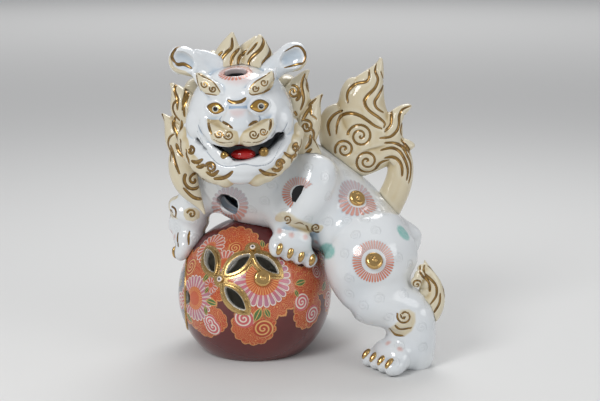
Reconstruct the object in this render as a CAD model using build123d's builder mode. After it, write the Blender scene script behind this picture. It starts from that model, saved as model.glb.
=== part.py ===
"""Guardian lion resting both forepaws on a pierced ball, in glazed porcelain.

The figure is slip-cast: a hollow ball, a hollow torso and a hollow head, with legs, tail, mane locks, ears
and face trim cast apart and luted on while the clay is damp. Millimetres, +Z up, the face looks along -Y,
and the origin is the centre of the ball's flat foot, on the surface that the figure stands on.
"""

import math
import os

from build123d import *

# Ball: a hollow sphere cut flat at its foot, with leaf openings in a lattice
BALL_RADIUS = 75.0
BALL_FOOT_RADIUS = 50.0
BALL_WALL = 6.0
LEAF_HOLE_LENGTH = 29.0
LEAF_HOLE_WIDTH = 11.0
LEAF_RIM_BAND = 3.6
LEAF_RIM_HEIGHT = 1.6
LEAF_PITCH = 12.5  # degrees from a lattice hub to the middle of a leaf, both ways
HUB_AZIMUTH = -25.0
HUB_ELEVATION = 22.0
HUB_STUD_RADIUS = 3.2
HUB_STUD_HEIGHT = 2.4
OPENWORK_TURNS = (0.0, 217.0)  # degrees; the openwork repeats round the ball, clear of the paws
BALL_BOSS_AZIMUTH = 8.0
BALL_BOSS_ELEVATION = 24.0
SIDE_HOLE_AZIMUTH = -59.0
SIDE_HOLE_ELEVATION = 3.0
SIDE_HOLE_RADIUS = 6.5

# Gilt bosses at the hearts of the painted flowers
BOSS_RADIUS = 8.5
BOSS_HEIGHT = 4.5

# Torso: a hollow barrel whose chest lies on the ball and whose rump slopes down to the right
CHEST_X = 5.0
CHEST_RISE = 41.0  # chest centre above the top of the ball
TORSO_WALL = 6.0
TORSO_STATIONS = (  # offset from the chest centre, half width, half height
    ((-59, 4, -2), 6, 6),
    ((-51, 3, -2), 28, 27),
    ((-30, 1, 0), 43, 42),
    ((0, 0, 0), 50, 50),
    ((39, 0, -14.5), 52, 47),
    ((77.5, 2, -38), 52, 41.5),
    ((109, 4, -63), 50, 36),
    ((138, 5, -76), 34, 28),
    ((148, 5, -84), 10, 8),
)
CHEST_HOLE = (2, -30)  # station, and degrees up from the near side
CHEST_HOLE_RADIUS = 9.5
SHOULDER_HOLE = (4, 8)
SHOULDER_HOLE_RADIUS = 8.0
FLANK_BOSS = (5, 40)

# Forelegs: from the shoulders, given from the chest centre, down to the paws on the ball
LEFT_SHOULDER = (47, -26, 14)
LEFT_BOW = (10, -13, 0)
LEFT_PAW_AZIMUTH = 43.0
LEFT_PAW_ELEVATION = 46.0
RIGHT_SHOULDER = (-40, 2, 8)
RIGHT_BOW = (2, -4, 0)
RIGHT_PAW_AZIMUTH = -97.0
RIGHT_PAW_ELEVATION = 40.0
FORELEG_RADIUS = 21.0
WRIST_RADIUS = 17.0
WRIST_LIFT = 26.0  # wrist above the ball's skin
WRIST_TURN = 10.0  # degrees from the paw up to the wrist
WRIST_TUFT_RADIUS = 7.0
PAW_LIFT = 9.0  # middle of a forepaw above the ball's skin

# Hind legs: feet on the floor, knees given from the feet, hips from the chest centre
LEFT_HIP = (113, -12, -40)
LEFT_KNEE = (-49, -6, 70)
LEFT_FOOT = (150, -58, 0)
LEFT_TOES = (-0.82, -0.57, 0)
RIGHT_HIP = (78, 34, -44)
RIGHT_KNEE = (-30, -4, 72)
RIGHT_FOOT = (52, 98, 0)
RIGHT_TOES = (-0.99, 0.1, 0)
THIGH_RADIUS = 44.0
THIGH_SWELL = (0.36, 0.62, 0.93, 0.93)  # of the radius, from the hip down
THIGH_BOW = 6.0
THIGH_BOSS_SHARE = 0.77  # of the way from hip to knee
THIGH_BOSS_DEPTH = 0.9
LEG_WALL = 7.0
SHANK_RADIUS = 25.0
HOCK_RADIUS = 22.0
HOCK_HEIGHT = 54.0
HOCK_OUT = 3.0
HOCK_TUFT = ((12, 44), (17, 57), (20, 70), (17, 86), (10, 102))  # back and up, from the foot
HOCK_TUFT_OUT = 2.0
HOCK_TUFT_HALF_WIDTH = 12.0
SHIN_CURL = (-14, 20, 50)  # back, out and up, from the foot
SHIN_CURL_RADIUS = 12.5
SHIN_CURL_HEIGHT = 9.0

# Paws
PALM_HALF_WIDTH = 23.0
PALM_RADIUS = 16.0
TOE_COUNT = 4
TOE_RADIUS = 8.2
TOE_LENGTH = 25.0
TOE_PITCH = 11.5
TOE_REACH = 9.0
TOE_DROP = 4.0
TOE_DIP = 0.25  # fall of a toe along its length
HIND_PAW_REACH = 24.0
HIND_PAW_HEIGHT = 13.0
CLAW_LENGTH = 12.0
CLAW_RADIUS = 3.2
CLAW_REACH = 8.0
CLAW_RISE = 4.0

# Tail: a stem curling up from the rump into a plume of flames
TAIL_ROOT = (126, 12, -24)  # from the chest centre
TAIL_THICKNESS = 15.0
TAIL_FLAMES = (  # across, up and half width, from the tail root
    ((-4, -13, 16), (6, 5, 14), (11, 23, 13), (9, 39, 13), (-1, 48, 14)),
    ((-46, 38, 12), (-36, 36, 17), (-21, 42, 19), (-3, 48, 16), (6, 50, 9)),
    ((-23, 44, 20), (-38, 48, 23), (-51, 64, 19), (-54, 80, 12), (-47, 91, 2)),
    ((-19, 50, 25), (-25, 74, 26), (-26, 97, 22), (-16, 118, 11), (-9, 136, 1.5)),
    ((-23, 76, 21), (-30, 90, 20), (-35, 101, 15), (-36, 110, 9), (-34, 117, 2)),
    ((-9, 54, 16), (2, 66, 13), (6, 79, 8), (13, 86, 5), (21, 90, 1)),
    ((-1, 38, 14), (8, 46, 11), (14, 51, 8), (20, 51, 5), (25, 51, 1)),
)

# Head: a hollow skull with the face parts luted to its front; places are right, back and up from its centre
HEAD_OFFSET = (-15.5, -38, 64)  # head centre from the chest centre
HEAD_ROLL = 2.0  # degrees that the head leans towards its right ear
HEAD_WALL = 6.0
HEAD_SECTIONS = (  # depth, half width, half height, rise
    (46, 12, 12, 4),
    (38, 30, 28, 4),
    (18, 45, 42, 3),
    (-8, 49, 45, 0),
    (-30, 46, 41, -2),
    (-42, 37, 34, -3),
    (-49, 22, 22, -4),
)
CHEEK = (34, -28, -4)
CHEEK_RADIUS = 15.0
MUZZLE = (0, -46, -10)
MUZZLE_HALF_WIDTH = 33.0
MUZZLE_RADIUS = 16.0
NOSE_LINE = (  # place, half width, half depth, from the bridge down to the tip
    ((0, -44, 17), 6, 5),
    ((0, -49, 11), 10, 8),
    ((0, -55, 4), 14, 10.5),
    ((0, -58, -2), 16, 11),
    ((0, -58, -7), 12, 9),
    ((0, -57, -11), 6, 4),
)
MOUTH_HALF_WIDTH = 42.0
MOUTH_CORNER = -11.0
UPPER_LIP = -22.0
LOWER_LIP = -35.0
JAW_LINE = ((47, -12, -8), (40, -30, -22), (24, -46, -37), (0, -53, -42))
JAW_RADIUS = 10.0
CHIN = (0, -51, -47)
CHIN_HALF_WIDTH = 17.0
CHIN_RADIUS = 10.0
TONGUE = (1, -46, -30)
TONGUE_HALF_WIDTH = 12.5
TONGUE_RADIUS = 7.0
FANG = (19, -49, -29)
FANG_RADIUS = 4.8
EYE = (19.5, -45, 12.5)
EYE_HALF_WIDTH = 8.8
EYE_RADIUS = 6.2
EYE_SLANT = 0.14  # rise of the outer corner
PUPIL_RADIUS = 2.6
BROW = ((9, -46, 20), (15, -46, 25), (22, -45, 30), (29, -42, 35), (35, -37, 43))
BROW_HALF_WIDTH = 8.0
MOUSTACHE = ((3, -57, -11), (12, -58, -13), (22, -55, -10), (30, -49, -3), (35, -42, 7))
MOUSTACHE_HALF_WIDTH = 10.0
BEARD_HALF_WIDTH = 50.0
BEARD_DEPTH = 42.0
BEARD_SWEEP = (10, 74)  # degrees from the cheek down to the chin
BEARD_BACK = -12.0
BEARD_LEAN = 0.85  # forward for each mm down
BEARD_CURL_RADIUS = 9.5
BEARD_CURLS = 7
EAR = ((22, -2, 33), (33, -5, 42), (42, -7, 48), (51, -9, 52), (58, -10, 54), (63, -10, 55))
EAR_SWELL = (0.66, 0.76, 0.88, 1.0, 0.84, 0.25)
EAR_HALF_WIDTH = 13.5
EAR_THICKNESS = 0.85  # front to back, over its height
EAR_SCOOP_FORWARD = 12.0
EAR_SCOOP_HALF_LENGTH = 15.0
EAR_SCOOP_RADIUS = 10.0
CROWN_HOLE = (-2, -24, 38)
CROWN_HOLE_LENGTH = 21.0
CROWN_HOLE_WIDTH = 17.0
CREST_FLAMES = (
    ((-8, 4, 30), (-11, 4, 43), (-9, 5, 55), (-7, 8, 66), (-5, 10, 75)),
    ((17, 4, 30), (18, 4, 43), (19, 5, 54), (20, 8, 64), (20, 10, 72)),
    ((10, 20, 28), (9, 21, 44), (12, 22, 56), (15, 24, 64), (16, 25, 70)),
    ((-22, 16, 26), (-26, 17, 38), (-27, 18, 46), (-25, 20, 53), (-24, 22, 58)),
)
CREST_HALF_WIDTH = 16.0

# Mane: a ruff round the neck with flame-shaped locks standing off it
RUFF_SECTIONS = (  # depth, half width, half height, rise
    (-10, 30, 28, -14),
    (0, 50, 47, -16),
    (18, 60, 58, -20),
    (38, 58, 56, -22),
    (60, 46, 44, -24),
    (78, 22, 22, -24),
)
RIGHT_LOCKS = (
    ((-40, 14, -14), (-52, 15, 2), (-56, 16, 14), (-60, 17, 22), (-66, 18, 29)),
    ((-42, 12, -46), (-57, 13, -30), (-63, 14, -16), (-68, 16, -8), (-76, 18, 1)),
    ((-44, 12, -28), (-57, 9, -46), (-54, 6, -66), (-46, 4, -80), (-38, 0, -94)),
)
LEFT_LOCKS = (
    ((38, 14, -6), (50, 15, 8), (54, 16, 20), (58, 17, 29), (65, 18, 37)),
    ((42, 12, -38), (58, 13, -20), (64, 14, -6), (69, 16, 4), (77, 18, 14)),
    ((44, 10, -24), (60, 5, -42), (66, 0, -54), (74, -4, -64), (80, -8, -76)),
)
BACK_LOCK = ((18, 34), (42, 32), (62, 19), (80, 1), (98, -12))  # back and up, from the head centre
BACK_LOCK_PITCH = 21.0
BACK_LOCKS = 5
LOCK_HALF_WIDTH = 14.0
LOCK_THICKNESS = 13.0

ball_height = math.sqrt(BALL_RADIUS**2 - BALL_FOOT_RADIUS**2)
ball_centre = Vector(0, 0, ball_height)
chest = Vector(CHEST_X, 0, ball_height + BALL_RADIUS + CHEST_RISE)
roll = math.radians(HEAD_ROLL)
head_plane = Plane(
    origin=chest + Vector(*HEAD_OFFSET),
    x_dir=(math.cos(roll), 0, math.sin(roll)),
    z_dir=(-math.sin(roll), 0, math.cos(roll)),
)

face_plane = Plane(origin=head_plane.origin, x_dir=head_plane.x_dir, z_dir=-head_plane.y_dir)

os.makedirs("parts", exist_ok=True)


def finish(builder, label):
    """Name a finished piece and write it to its own file."""
    builder.part.label = label
    export_step(builder.part, f"parts/{label}.step")


def cut_by(*carriers):
    """Cut the piece being built where it runs into the pieces that it is luted to."""
    for carrier in carriers:
        add(carrier, mode=Mode.SUBTRACT, clean=False)


def oval(width, height):
    """An oval outline of four arcs with the given half width and half height."""
    with BuildSketch() as outline:
        with BuildLine():
            for quarter in range(4):
                turns = [math.radians(90 * quarter + step) for step in (0, 45, 90)]
                ThreePointArc(*[(width * math.cos(turn), height * math.sin(turn)) for turn in turns])
        make_face()
    return outline.sketch


def swelling(stations, across=(0, 1, 0)):
    """A tapering body lofted through ovals square to a spine; the first radius lies along across."""
    centres = [Vector(*station[0]) for station in stations]
    with BuildPart() as body:
        for index, (_, width, height) in enumerate(stations):
            ahead = centres[min(index + 1, len(centres) - 1)] - centres[max(index - 1, 0)]
            with BuildSketch(Plane(origin=centres[index], x_dir=Vector(*across), z_dir=ahead)):
                add(oval(width, height))
        loft()
    return body.part


def flame(points, half_width, thickness, across=(0, 1, 0)):
    """A flame-shaped lock: widest above its root, drawn out to a point along a curved spine."""
    swell = (0.72, 1.0, 0.82, 0.45, 0.07)
    depth = (1.0, 1.0, 0.85, 0.55, 0.12)
    return swelling(
        [(point, thickness * d, half_width * w) for point, w, d in zip(points, swell, depth)], across
    )


def spheroid(centre, along, half_length, radius):
    """An egg-round body about the direction along, with small flats at its ends."""
    axis = Plane(origin=centre, z_dir=Vector(*along))
    stations = []
    for tilt in (-80, -50, -18, 18, 50, 80):
        reach, spread = math.sin(math.radians(tilt)), math.cos(math.radians(tilt))
        stations.append((axis.origin + axis.z_dir * (half_length * reach), radius * spread, radius * spread))
    return swelling(stations, axis.x_dir)


def between(start, end, share):
    """The point a given share of the way from start to end."""
    return start + (end - start) * share


def offset_stations(origin, stations, shrink=0.0):
    """Stations moved to an origin, with every section drawn in by a wall thickness."""
    return [
        (origin + Vector(*at), width - shrink, height - shrink)
        for at, width, height in stations
        if min(width, height) > 1.5 * shrink
    ]


def on_ball(azimuth, elevation, lift=0.0):
    """A point above the ball's skin; azimuth 0 is the front and turns towards +X."""
    a, e = math.radians(azimuth), math.radians(elevation)
    out = Vector(math.cos(e) * math.sin(a), -math.cos(e) * math.cos(a), math.sin(e))
    return ball_centre + out * (BALL_RADIUS + lift)


def ball_plane(azimuth, elevation, lift=0.0, spin=0.0):
    """A plane over the ball, with its normal pointing out and its x axis level before the spin."""
    a = math.radians(azimuth)
    out = on_ball(azimuth, elevation) - ball_centre
    level = Vector(math.cos(a), math.sin(a), 0)
    uphill = out.normalized().cross(level)
    s = math.radians(spin)
    along = level * math.cos(s) + uphill * math.sin(s)
    return Plane(origin=on_ball(azimuth, elevation, lift), x_dir=along, z_dir=out)


def on_torso(station, angle):
    """A plane on the torso's skin at a station, facing out; angle 0 is the near side and 90 the top."""
    at, half_width, half_height = TORSO_STATIONS[station]
    ahead = Vector(*TORSO_STATIONS[station + 1][0]) - Vector(*TORSO_STATIONS[station - 1][0])
    near = Vector(0, -1, 0)
    up = near.cross(ahead).normalized()
    side, rise = math.cos(math.radians(angle)), math.sin(math.radians(angle))
    skin = chest + Vector(*at) + near * (half_width * side) + up * (half_height * rise)
    return Plane(origin=skin, z_dir=near * (side / half_width) + up * (rise / half_height))


def face(right, back, up):
    """A point given from the head centre."""
    return head_plane.from_local_coords((right, back, up))


def mirrored(point, side):
    """A point of the left half of the face, or its twin on the right half."""
    return face(side * point[0], point[1], point[2])


def eyeball(side):
    """An almond-shaped eye on one side of the face, before it is set into the head."""
    along = head_plane.x_dir * side + head_plane.z_dir * EYE_SLANT
    return spheroid(mirrored(EYE, side), along, EYE_HALF_WIDTH, EYE_RADIUS)


def leaf(length, width):
    """A pointed leaf outline made of two arcs."""
    with BuildSketch() as outline:
        with BuildLine():
            ThreePointArc((-length / 2, 0), (0, width / 2), (length / 2, 0))
            ThreePointArc((length / 2, 0), (0, -width / 2), (-length / 2, 0))
        make_face()
    return outline.sketch


# Ball shell and its openwork
with BuildPart() as ball_body:
    with Locations(ball_centre):
        Sphere(BALL_RADIUS)
    split(bisect_by=Plane.XY, keep=Keep.TOP)
ball_outer = ball_body.part

hubs = []
leaves = []
for turn in OPENWORK_TURNS:
    low_azimuth = HUB_AZIMUTH + turn
    high_azimuth = low_azimuth + 2 * LEAF_PITCH
    high_elevation = HUB_ELEVATION + 2 * LEAF_PITCH
    hubs += [(low_azimuth, HUB_ELEVATION), (high_azimuth, high_elevation)]
    leaves += [
        (low_azimuth - 1.25 * LEAF_PITCH, HUB_ELEVATION + LEAF_PITCH, -45),
        (low_azimuth + LEAF_PITCH, HUB_ELEVATION + LEAF_PITCH, 45),
        (low_azimuth + LEAF_PITCH, HUB_ELEVATION - LEAF_PITCH, -45),
        (high_azimuth + LEAF_PITCH, high_elevation - LEAF_PITCH, -45),
    ]

with BuildPart() as ball_shell:
    add(ball_outer)
    with Locations(ball_centre):
        Sphere(BALL_RADIUS - BALL_WALL, mode=Mode.SUBTRACT)
    with Locations((0, 0, BALL_WALL / 2)):
        Cylinder(BALL_FOOT_RADIUS - BALL_WALL / 2, BALL_WALL)
    for azimuth, elevation, spin in leaves:
        with BuildSketch(ball_plane(azimuth, elevation, BALL_WALL, spin)):
            add(leaf(LEAF_HOLE_LENGTH, LEAF_HOLE_WIDTH))
        extrude(amount=-3 * BALL_WALL, mode=Mode.SUBTRACT)
    with BuildSketch(ball_plane(SIDE_HOLE_AZIMUTH, SIDE_HOLE_ELEVATION, BALL_WALL)):
        Circle(SIDE_HOLE_RADIUS)
    extrude(amount=-3 * BALL_WALL, mode=Mode.SUBTRACT)
finish(ball_shell, "ball_shell")

# Torso shell, seated on the ball
torso_outer = swelling(offset_stations(chest, TORSO_STATIONS))
torso_hollow = swelling(offset_stations(chest, TORSO_STATIONS, TORSO_WALL))
with BuildPart() as torso_shell:
    add(torso_outer)
    cut_by(torso_hollow, ball_outer)
    for place, radius in ((CHEST_HOLE, CHEST_HOLE_RADIUS), (SHOULDER_HOLE, SHOULDER_HOLE_RADIUS)):
        with BuildSketch(on_torso(*place)):
            Circle(radius)
        extrude(amount=2 * TORSO_WALL, both=True, mode=Mode.SUBTRACT)
finish(torso_shell, "torso_shell")


def paw(place):
    """A palm with a row of toes; the plane's x axis points to the toe tips, its normal away from the pads."""
    with BuildPart() as body:
        add(spheroid(place.origin, place.y_dir, PALM_HALF_WIDTH, PALM_RADIUS))
        for toe in range(TOE_COUNT):
            aside = (toe - (TOE_COUNT - 1) / 2) * TOE_PITCH
            middle = place.from_local_coords((TOE_REACH, aside, -TOE_DROP))
            add(spheroid(middle, place.x_dir - place.z_dir * TOE_DIP, TOE_LENGTH / 2, TOE_RADIUS))
    return body.part


def claws(place):
    """One claw on the front of each toe, as a group."""
    with BuildPart() as row:
        for toe in range(TOE_COUNT):
            aside = (toe - (TOE_COUNT - 1) / 2) * TOE_PITCH
            middle = place.from_local_coords((TOE_REACH + CLAW_REACH, aside, CLAW_RISE - TOE_DROP))
            add(spheroid(middle, place.x_dir - place.z_dir, CLAW_LENGTH / 2, CLAW_RADIUS))
    return row.part


def forepaw_plane(azimuth, elevation):
    """The place of a paw on the ball, toes pointing downhill."""
    resting = ball_plane(azimuth, elevation, PAW_LIFT)
    return Plane(origin=resting.origin, x_dir=-resting.y_dir, z_dir=resting.z_dir)


def foreleg(shoulder, bow, azimuth, elevation):
    """A foreleg from inside the torso, bowed forward, down into the back of its paw."""
    top = chest + Vector(*shoulder)
    wrist = on_ball(azimuth, elevation + WRIST_TURN, WRIST_LIFT)
    upper = between(top, wrist, 0.4) + Vector(*bow)
    lower = between(top, wrist, 0.75) + Vector(*bow) * 0.6
    return swelling(
        [
            (between(top, wrist, -0.25), 0.7 * FORELEG_RADIUS, 0.7 * FORELEG_RADIUS),
            (top, 1.1 * FORELEG_RADIUS, 1.1 * FORELEG_RADIUS),
            (upper, FORELEG_RADIUS, FORELEG_RADIUS),
            (lower, between(FORELEG_RADIUS, WRIST_RADIUS, 0.5), between(FORELEG_RADIUS, WRIST_RADIUS, 0.5)),
            (wrist, WRIST_RADIUS, WRIST_RADIUS),
            (on_ball(azimuth, elevation, PAW_LIFT), 0.7 * WRIST_RADIUS, 0.7 * WRIST_RADIUS),
        ]
    )


def wrist_tuft(shoulder, azimuth, elevation):
    """A rolled band of hair round the wrist."""
    wrist = on_ball(azimuth, elevation + WRIST_TURN, WRIST_LIFT)
    with BuildPart() as band:
        with Locations(Plane(origin=wrist, z_dir=chest + Vector(*shoulder) - wrist)):
            Torus(WRIST_RADIUS, WRIST_TUFT_RADIUS)
    return band.part


# Forepaws and forelegs, with their claws and wrist tufts
fore_sides = (
    ("left", LEFT_SHOULDER, LEFT_BOW, LEFT_PAW_AZIMUTH, LEFT_PAW_ELEVATION),
    ("right", RIGHT_SHOULDER, RIGHT_BOW, RIGHT_PAW_AZIMUTH, RIGHT_PAW_ELEVATION),
)
fore_solids = []
for side, shoulder, bow, azimuth, elevation in fore_sides:
    place = forepaw_plane(azimuth, elevation)
    paw_solid = paw(place)
    leg_solid = foreleg(shoulder, bow, azimuth, elevation)
    tuft_solid = wrist_tuft(shoulder, azimuth, elevation)
    fore_solids += [paw_solid, leg_solid, tuft_solid]

    with BuildPart() as forepaw:
        add(paw_solid)
        cut_by(ball_outer, torso_outer)
    finish(forepaw, f"{side}_forepaw")

    with BuildPart() as leg:
        add(leg_solid)
        cut_by(torso_outer, ball_outer, paw_solid)
    finish(leg, f"{side}_foreleg")

    with BuildPart() as tuft:
        add(tuft_solid)
        cut_by(leg_solid, paw_solid, torso_outer, ball_outer)
    finish(tuft, f"{side}_wrist_tuft")

    with BuildPart() as fore_claws:
        add(claws(place))
        cut_by(paw_solid, ball_outer)
    finish(fore_claws, f"{side}_fore_claws")


def thigh_axis(hip, knee, share, outward):
    """A point down the thigh, bowed away from the body."""
    return between(hip, knee, share) + Vector(0, outward * THIGH_BOW, 0)


def thigh_form(hip, knee, outward, wall=0.0):
    """The swelling of a thigh from inside the torso to the knee, or the hollow inside its wall."""
    stations = [
        (between(hip, knee, -0.15), THIGH_SWELL[0] * THIGH_RADIUS),
        (between(hip, knee, 0.05), THIGH_SWELL[1] * THIGH_RADIUS),
        (thigh_axis(hip, knee, 0.35, outward), THIGH_SWELL[2] * THIGH_RADIUS),
        (thigh_axis(hip, knee, 0.68, outward), THIGH_SWELL[3] * THIGH_RADIUS),
        (knee, 1.1 * SHANK_RADIUS),
        (between(hip, knee, 1.18), 0.4 * SHANK_RADIUS),
    ]
    return swelling([(at, radius - wall, radius - wall) for at, radius in stations if radius > 2 * wall])


def hind_leg(hip, knee, foot, outward):
    """Thigh, shank and hock in one casting, standing on a flat heel."""
    hock = foot + Vector(0, outward * HOCK_OUT, HOCK_HEIGHT)
    shank = [
        (between(knee, hock, -0.1), 0.6 * SHANK_RADIUS, 0.6 * SHANK_RADIUS),
        (between(knee, hock, 0.15), SHANK_RADIUS, SHANK_RADIUS),
        (between(knee, hock, 0.6), 0.95 * SHANK_RADIUS, 0.95 * SHANK_RADIUS),
        (between(knee, hock, 1.0), 0.9 * HOCK_RADIUS, 0.9 * HOCK_RADIUS),
        (between(knee, hock, 1.2), 0.4 * HOCK_RADIUS, 0.4 * HOCK_RADIUS),
    ]
    heel = [
        (between(foot, hock, 1.22), 0.3 * HOCK_RADIUS, 0.3 * HOCK_RADIUS),
        (hock, 0.9 * HOCK_RADIUS, 0.9 * HOCK_RADIUS),
        (between(foot, hock, 0.62), HOCK_RADIUS, HOCK_RADIUS),
        (between(foot, hock, 0.28), HOCK_RADIUS, HOCK_RADIUS),
        (foot, 0.82 * HOCK_RADIUS, 0.82 * HOCK_RADIUS),
    ]
    with BuildPart() as body:
        add(thigh_form(hip, knee, outward))
        add(swelling(shank))
        add(swelling(heel))
    return body.part


# Hind legs and paws, with their claws, hock tufts, shin curls and gilt bosses
hind_sides = (
    ("left", LEFT_HIP, LEFT_KNEE, LEFT_FOOT, LEFT_TOES, -1),
    ("right", RIGHT_HIP, RIGHT_KNEE, RIGHT_FOOT, RIGHT_TOES, 1),
)
hind_solids = []
for side, hip_offset, knee_offset, foot_place, toes, outward in hind_sides:
    hip = chest + Vector(*hip_offset)
    foot = Vector(*foot_place)
    knee = foot + Vector(*knee_offset)
    ahead = Vector(*toes).normalized()
    palm = foot + ahead * HIND_PAW_REACH + Vector(0, 0, HIND_PAW_HEIGHT)
    place = Plane(origin=palm, x_dir=ahead, z_dir=(0, 0, 1))
    paw_solid = paw(place)
    leg_solid = hind_leg(hip, knee, foot, outward)
    hind_solids += [leg_solid, paw_solid]

    with BuildPart() as leg:
        add(leg_solid)
        cut_by(torso_outer, ball_outer, thigh_form(hip, knee, outward, LEG_WALL))
    finish(leg, f"{side}_hind_leg")

    with BuildPart() as hind_paw:
        add(paw_solid)
        cut_by(leg_solid)
        split(bisect_by=Plane.XY, keep=Keep.TOP)
    finish(hind_paw, f"{side}_hind_paw")

    with BuildPart() as hind_claws:
        add(claws(place))
        cut_by(paw_solid)
        split(bisect_by=Plane.XY, keep=Keep.TOP)
    finish(hind_claws, f"{side}_hind_claws")

    tuft_points = [foot + Vector(back, HOCK_TUFT_OUT * outward, up) for back, up in HOCK_TUFT]
    with BuildPart() as hock_tuft:
        add(flame(tuft_points, HOCK_TUFT_HALF_WIDTH, 0.75 * HOCK_TUFT_HALF_WIDTH))
        cut_by(leg_solid)
    finish(hock_tuft, f"{side}_hock_tuft")

    back, out, up = SHIN_CURL
    with BuildPart() as shin_curl:
        add(spheroid(foot + Vector(back, outward * out, up), (0, 1, 0), SHIN_CURL_HEIGHT, SHIN_CURL_RADIUS))
        cut_by(leg_solid, paw_solid)
    finish(shin_curl, f"{side}_shin_curl")

    down = (knee - hip).normalized()
    outside = Vector(0, outward, 0)
    outside = (outside - down * outside.dot(down)).normalized()
    boss_depth = THIGH_BOSS_DEPTH * THIGH_RADIUS
    thigh_skin = thigh_axis(hip, knee, THIGH_BOSS_SHARE, outward) + outside * boss_depth
    with BuildPart() as thigh_boss:
        add(spheroid(thigh_skin, outside, BOSS_HEIGHT, BOSS_RADIUS))
        cut_by(leg_solid)
    finish(thigh_boss, f"{side}_thigh_boss")

    station, angle = FLANK_BOSS
    flank = on_torso(station, angle if outward < 0 else 180 - angle)
    with BuildPart() as flank_boss:
        add(spheroid(flank.origin, flank.z_dir, BOSS_HEIGHT, BOSS_RADIUS))
        cut_by(torso_outer, leg_solid)
    finish(flank_boss, f"{side}_flank_boss")

# Raised trim on the ball, clear of the paws
with BuildPart() as ball_leaf_rims:
    for azimuth, elevation, spin in leaves:
        with BuildSketch(ball_plane(azimuth, elevation, 2 * BALL_WALL, spin)):
            add(leaf(LEAF_HOLE_LENGTH + 2 * LEAF_RIM_BAND, LEAF_HOLE_WIDTH + 2 * LEAF_RIM_BAND))
            add(leaf(LEAF_HOLE_LENGTH, LEAF_HOLE_WIDTH), mode=Mode.SUBTRACT)
        extrude(amount=-4 * BALL_WALL)
    with Locations(ball_centre):
        Sphere(BALL_RADIUS + LEAF_RIM_HEIGHT, mode=Mode.INTERSECT)
    cut_by(ball_outer, *fore_solids, *hind_solids)
finish(ball_leaf_rims, "ball_leaf_rims")

with BuildPart() as ball_hub_studs:
    for azimuth, elevation in hubs:
        stud = ball_plane(azimuth, elevation, LEAF_RIM_HEIGHT)
        add(spheroid(stud.origin, stud.z_dir, HUB_STUD_HEIGHT, HUB_STUD_RADIUS))
    cut_by(ball_outer, ball_leaf_rims.part, *fore_solids)
finish(ball_hub_studs, "ball_hub_studs")

with BuildPart() as ball_boss:
    seat = ball_plane(BALL_BOSS_AZIMUTH, BALL_BOSS_ELEVATION)
    add(spheroid(seat.origin, seat.z_dir, BOSS_HEIGHT, BOSS_RADIUS))
    cut_by(ball_outer, ball_leaf_rims.part)
finish(ball_boss, "ball_boss")

# Tail plume, rooted in the rump
tail_root = chest + Vector(*TAIL_ROOT)
widest = max(station[2] for spine in TAIL_FLAMES for station in spine)
with BuildPart() as tail_plume:
    for spine in TAIL_FLAMES:
        add(
            swelling(
                [
                    (tail_root + Vector(across, 0, up), TAIL_THICKNESS * math.sqrt(half / widest), half)
                    for across, up, half in spine
                ]
            )
        )
    cut_by(torso_outer, *hind_solids)
finish(tail_plume, "tail_plume")

# Head mass, before it is hollowed and the mouth is cut
skull = [(face(0, depth, rise), width, height) for depth, width, height, rise in HEAD_SECTIONS]
jaw_half = [(place, JAW_RADIUS * (0.7 + 0.1 * step)) for step, place in enumerate(JAW_LINE)]
jaw_line = [(mirrored(place, -1), radius, radius) for place, radius in jaw_half]
jaw_line += [(mirrored(place, 1), radius, radius) for place, radius in reversed(jaw_half[:-1])]
with BuildPart() as head_body:
    add(swelling(skull, head_plane.x_dir))
    for cheek in (-1, 1):
        add(spheroid(mirrored(CHEEK, cheek), head_plane.z_dir, 1.2 * CHEEK_RADIUS, CHEEK_RADIUS))
    add(spheroid(face(*MUZZLE), head_plane.x_dir, MUZZLE_HALF_WIDTH, MUZZLE_RADIUS))
    add(swelling(jaw_line))
    add(spheroid(face(*CHIN), head_plane.x_dir, CHIN_HALF_WIDTH, CHIN_RADIUS))
head_outer = head_body.part
head_hollow = swelling(
    [(at, w - HEAD_WALL, h - HEAD_WALL) for at, w, h in skull if w > 2 * HEAD_WALL], head_plane.x_dir
)

mouth_reach = -HEAD_SECTIONS[-1][0] + MUZZLE_RADIUS + 2 * JAW_RADIUS
with BuildPart() as mouth:
    with BuildSketch(face_plane.offset(mouth_reach)):
        with BuildLine():
            corner = (MOUTH_HALF_WIDTH, MOUTH_CORNER)
            ThreePointArc((-corner[0], corner[1]), (0, UPPER_LIP), corner)
            ThreePointArc(corner, (0, LOWER_LIP), (-corner[0], corner[1]))
        make_face()
    extrude(amount=-mouth_reach + 2 * HEAD_WALL)

with BuildPart() as jaw_side:
    with BuildSketch(face_plane.offset(mouth_reach)):
        with BuildLine():
            ThreePointArc((-MOUTH_HALF_WIDTH, MOUTH_CORNER), (0, LOWER_LIP), (MOUTH_HALF_WIDTH, MOUTH_CORNER))
            Line((MOUTH_HALF_WIDTH, MOUTH_CORNER), (2 * MOUTH_HALF_WIDTH, MOUTH_CORNER))
            Line((2 * MOUTH_HALF_WIDTH, MOUTH_CORNER), (2 * MOUTH_HALF_WIDTH, 3 * LOWER_LIP))
            Line((2 * MOUTH_HALF_WIDTH, 3 * LOWER_LIP), (-2 * MOUTH_HALF_WIDTH, 3 * LOWER_LIP))
            Line((-2 * MOUTH_HALF_WIDTH, 3 * LOWER_LIP), (-2 * MOUTH_HALF_WIDTH, MOUTH_CORNER))
            Line((-2 * MOUTH_HALF_WIDTH, MOUTH_CORNER), (-MOUTH_HALF_WIDTH, MOUTH_CORNER))
        make_face()
    extrude(amount=-mouth_reach + 2 * HEAD_WALL)

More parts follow.
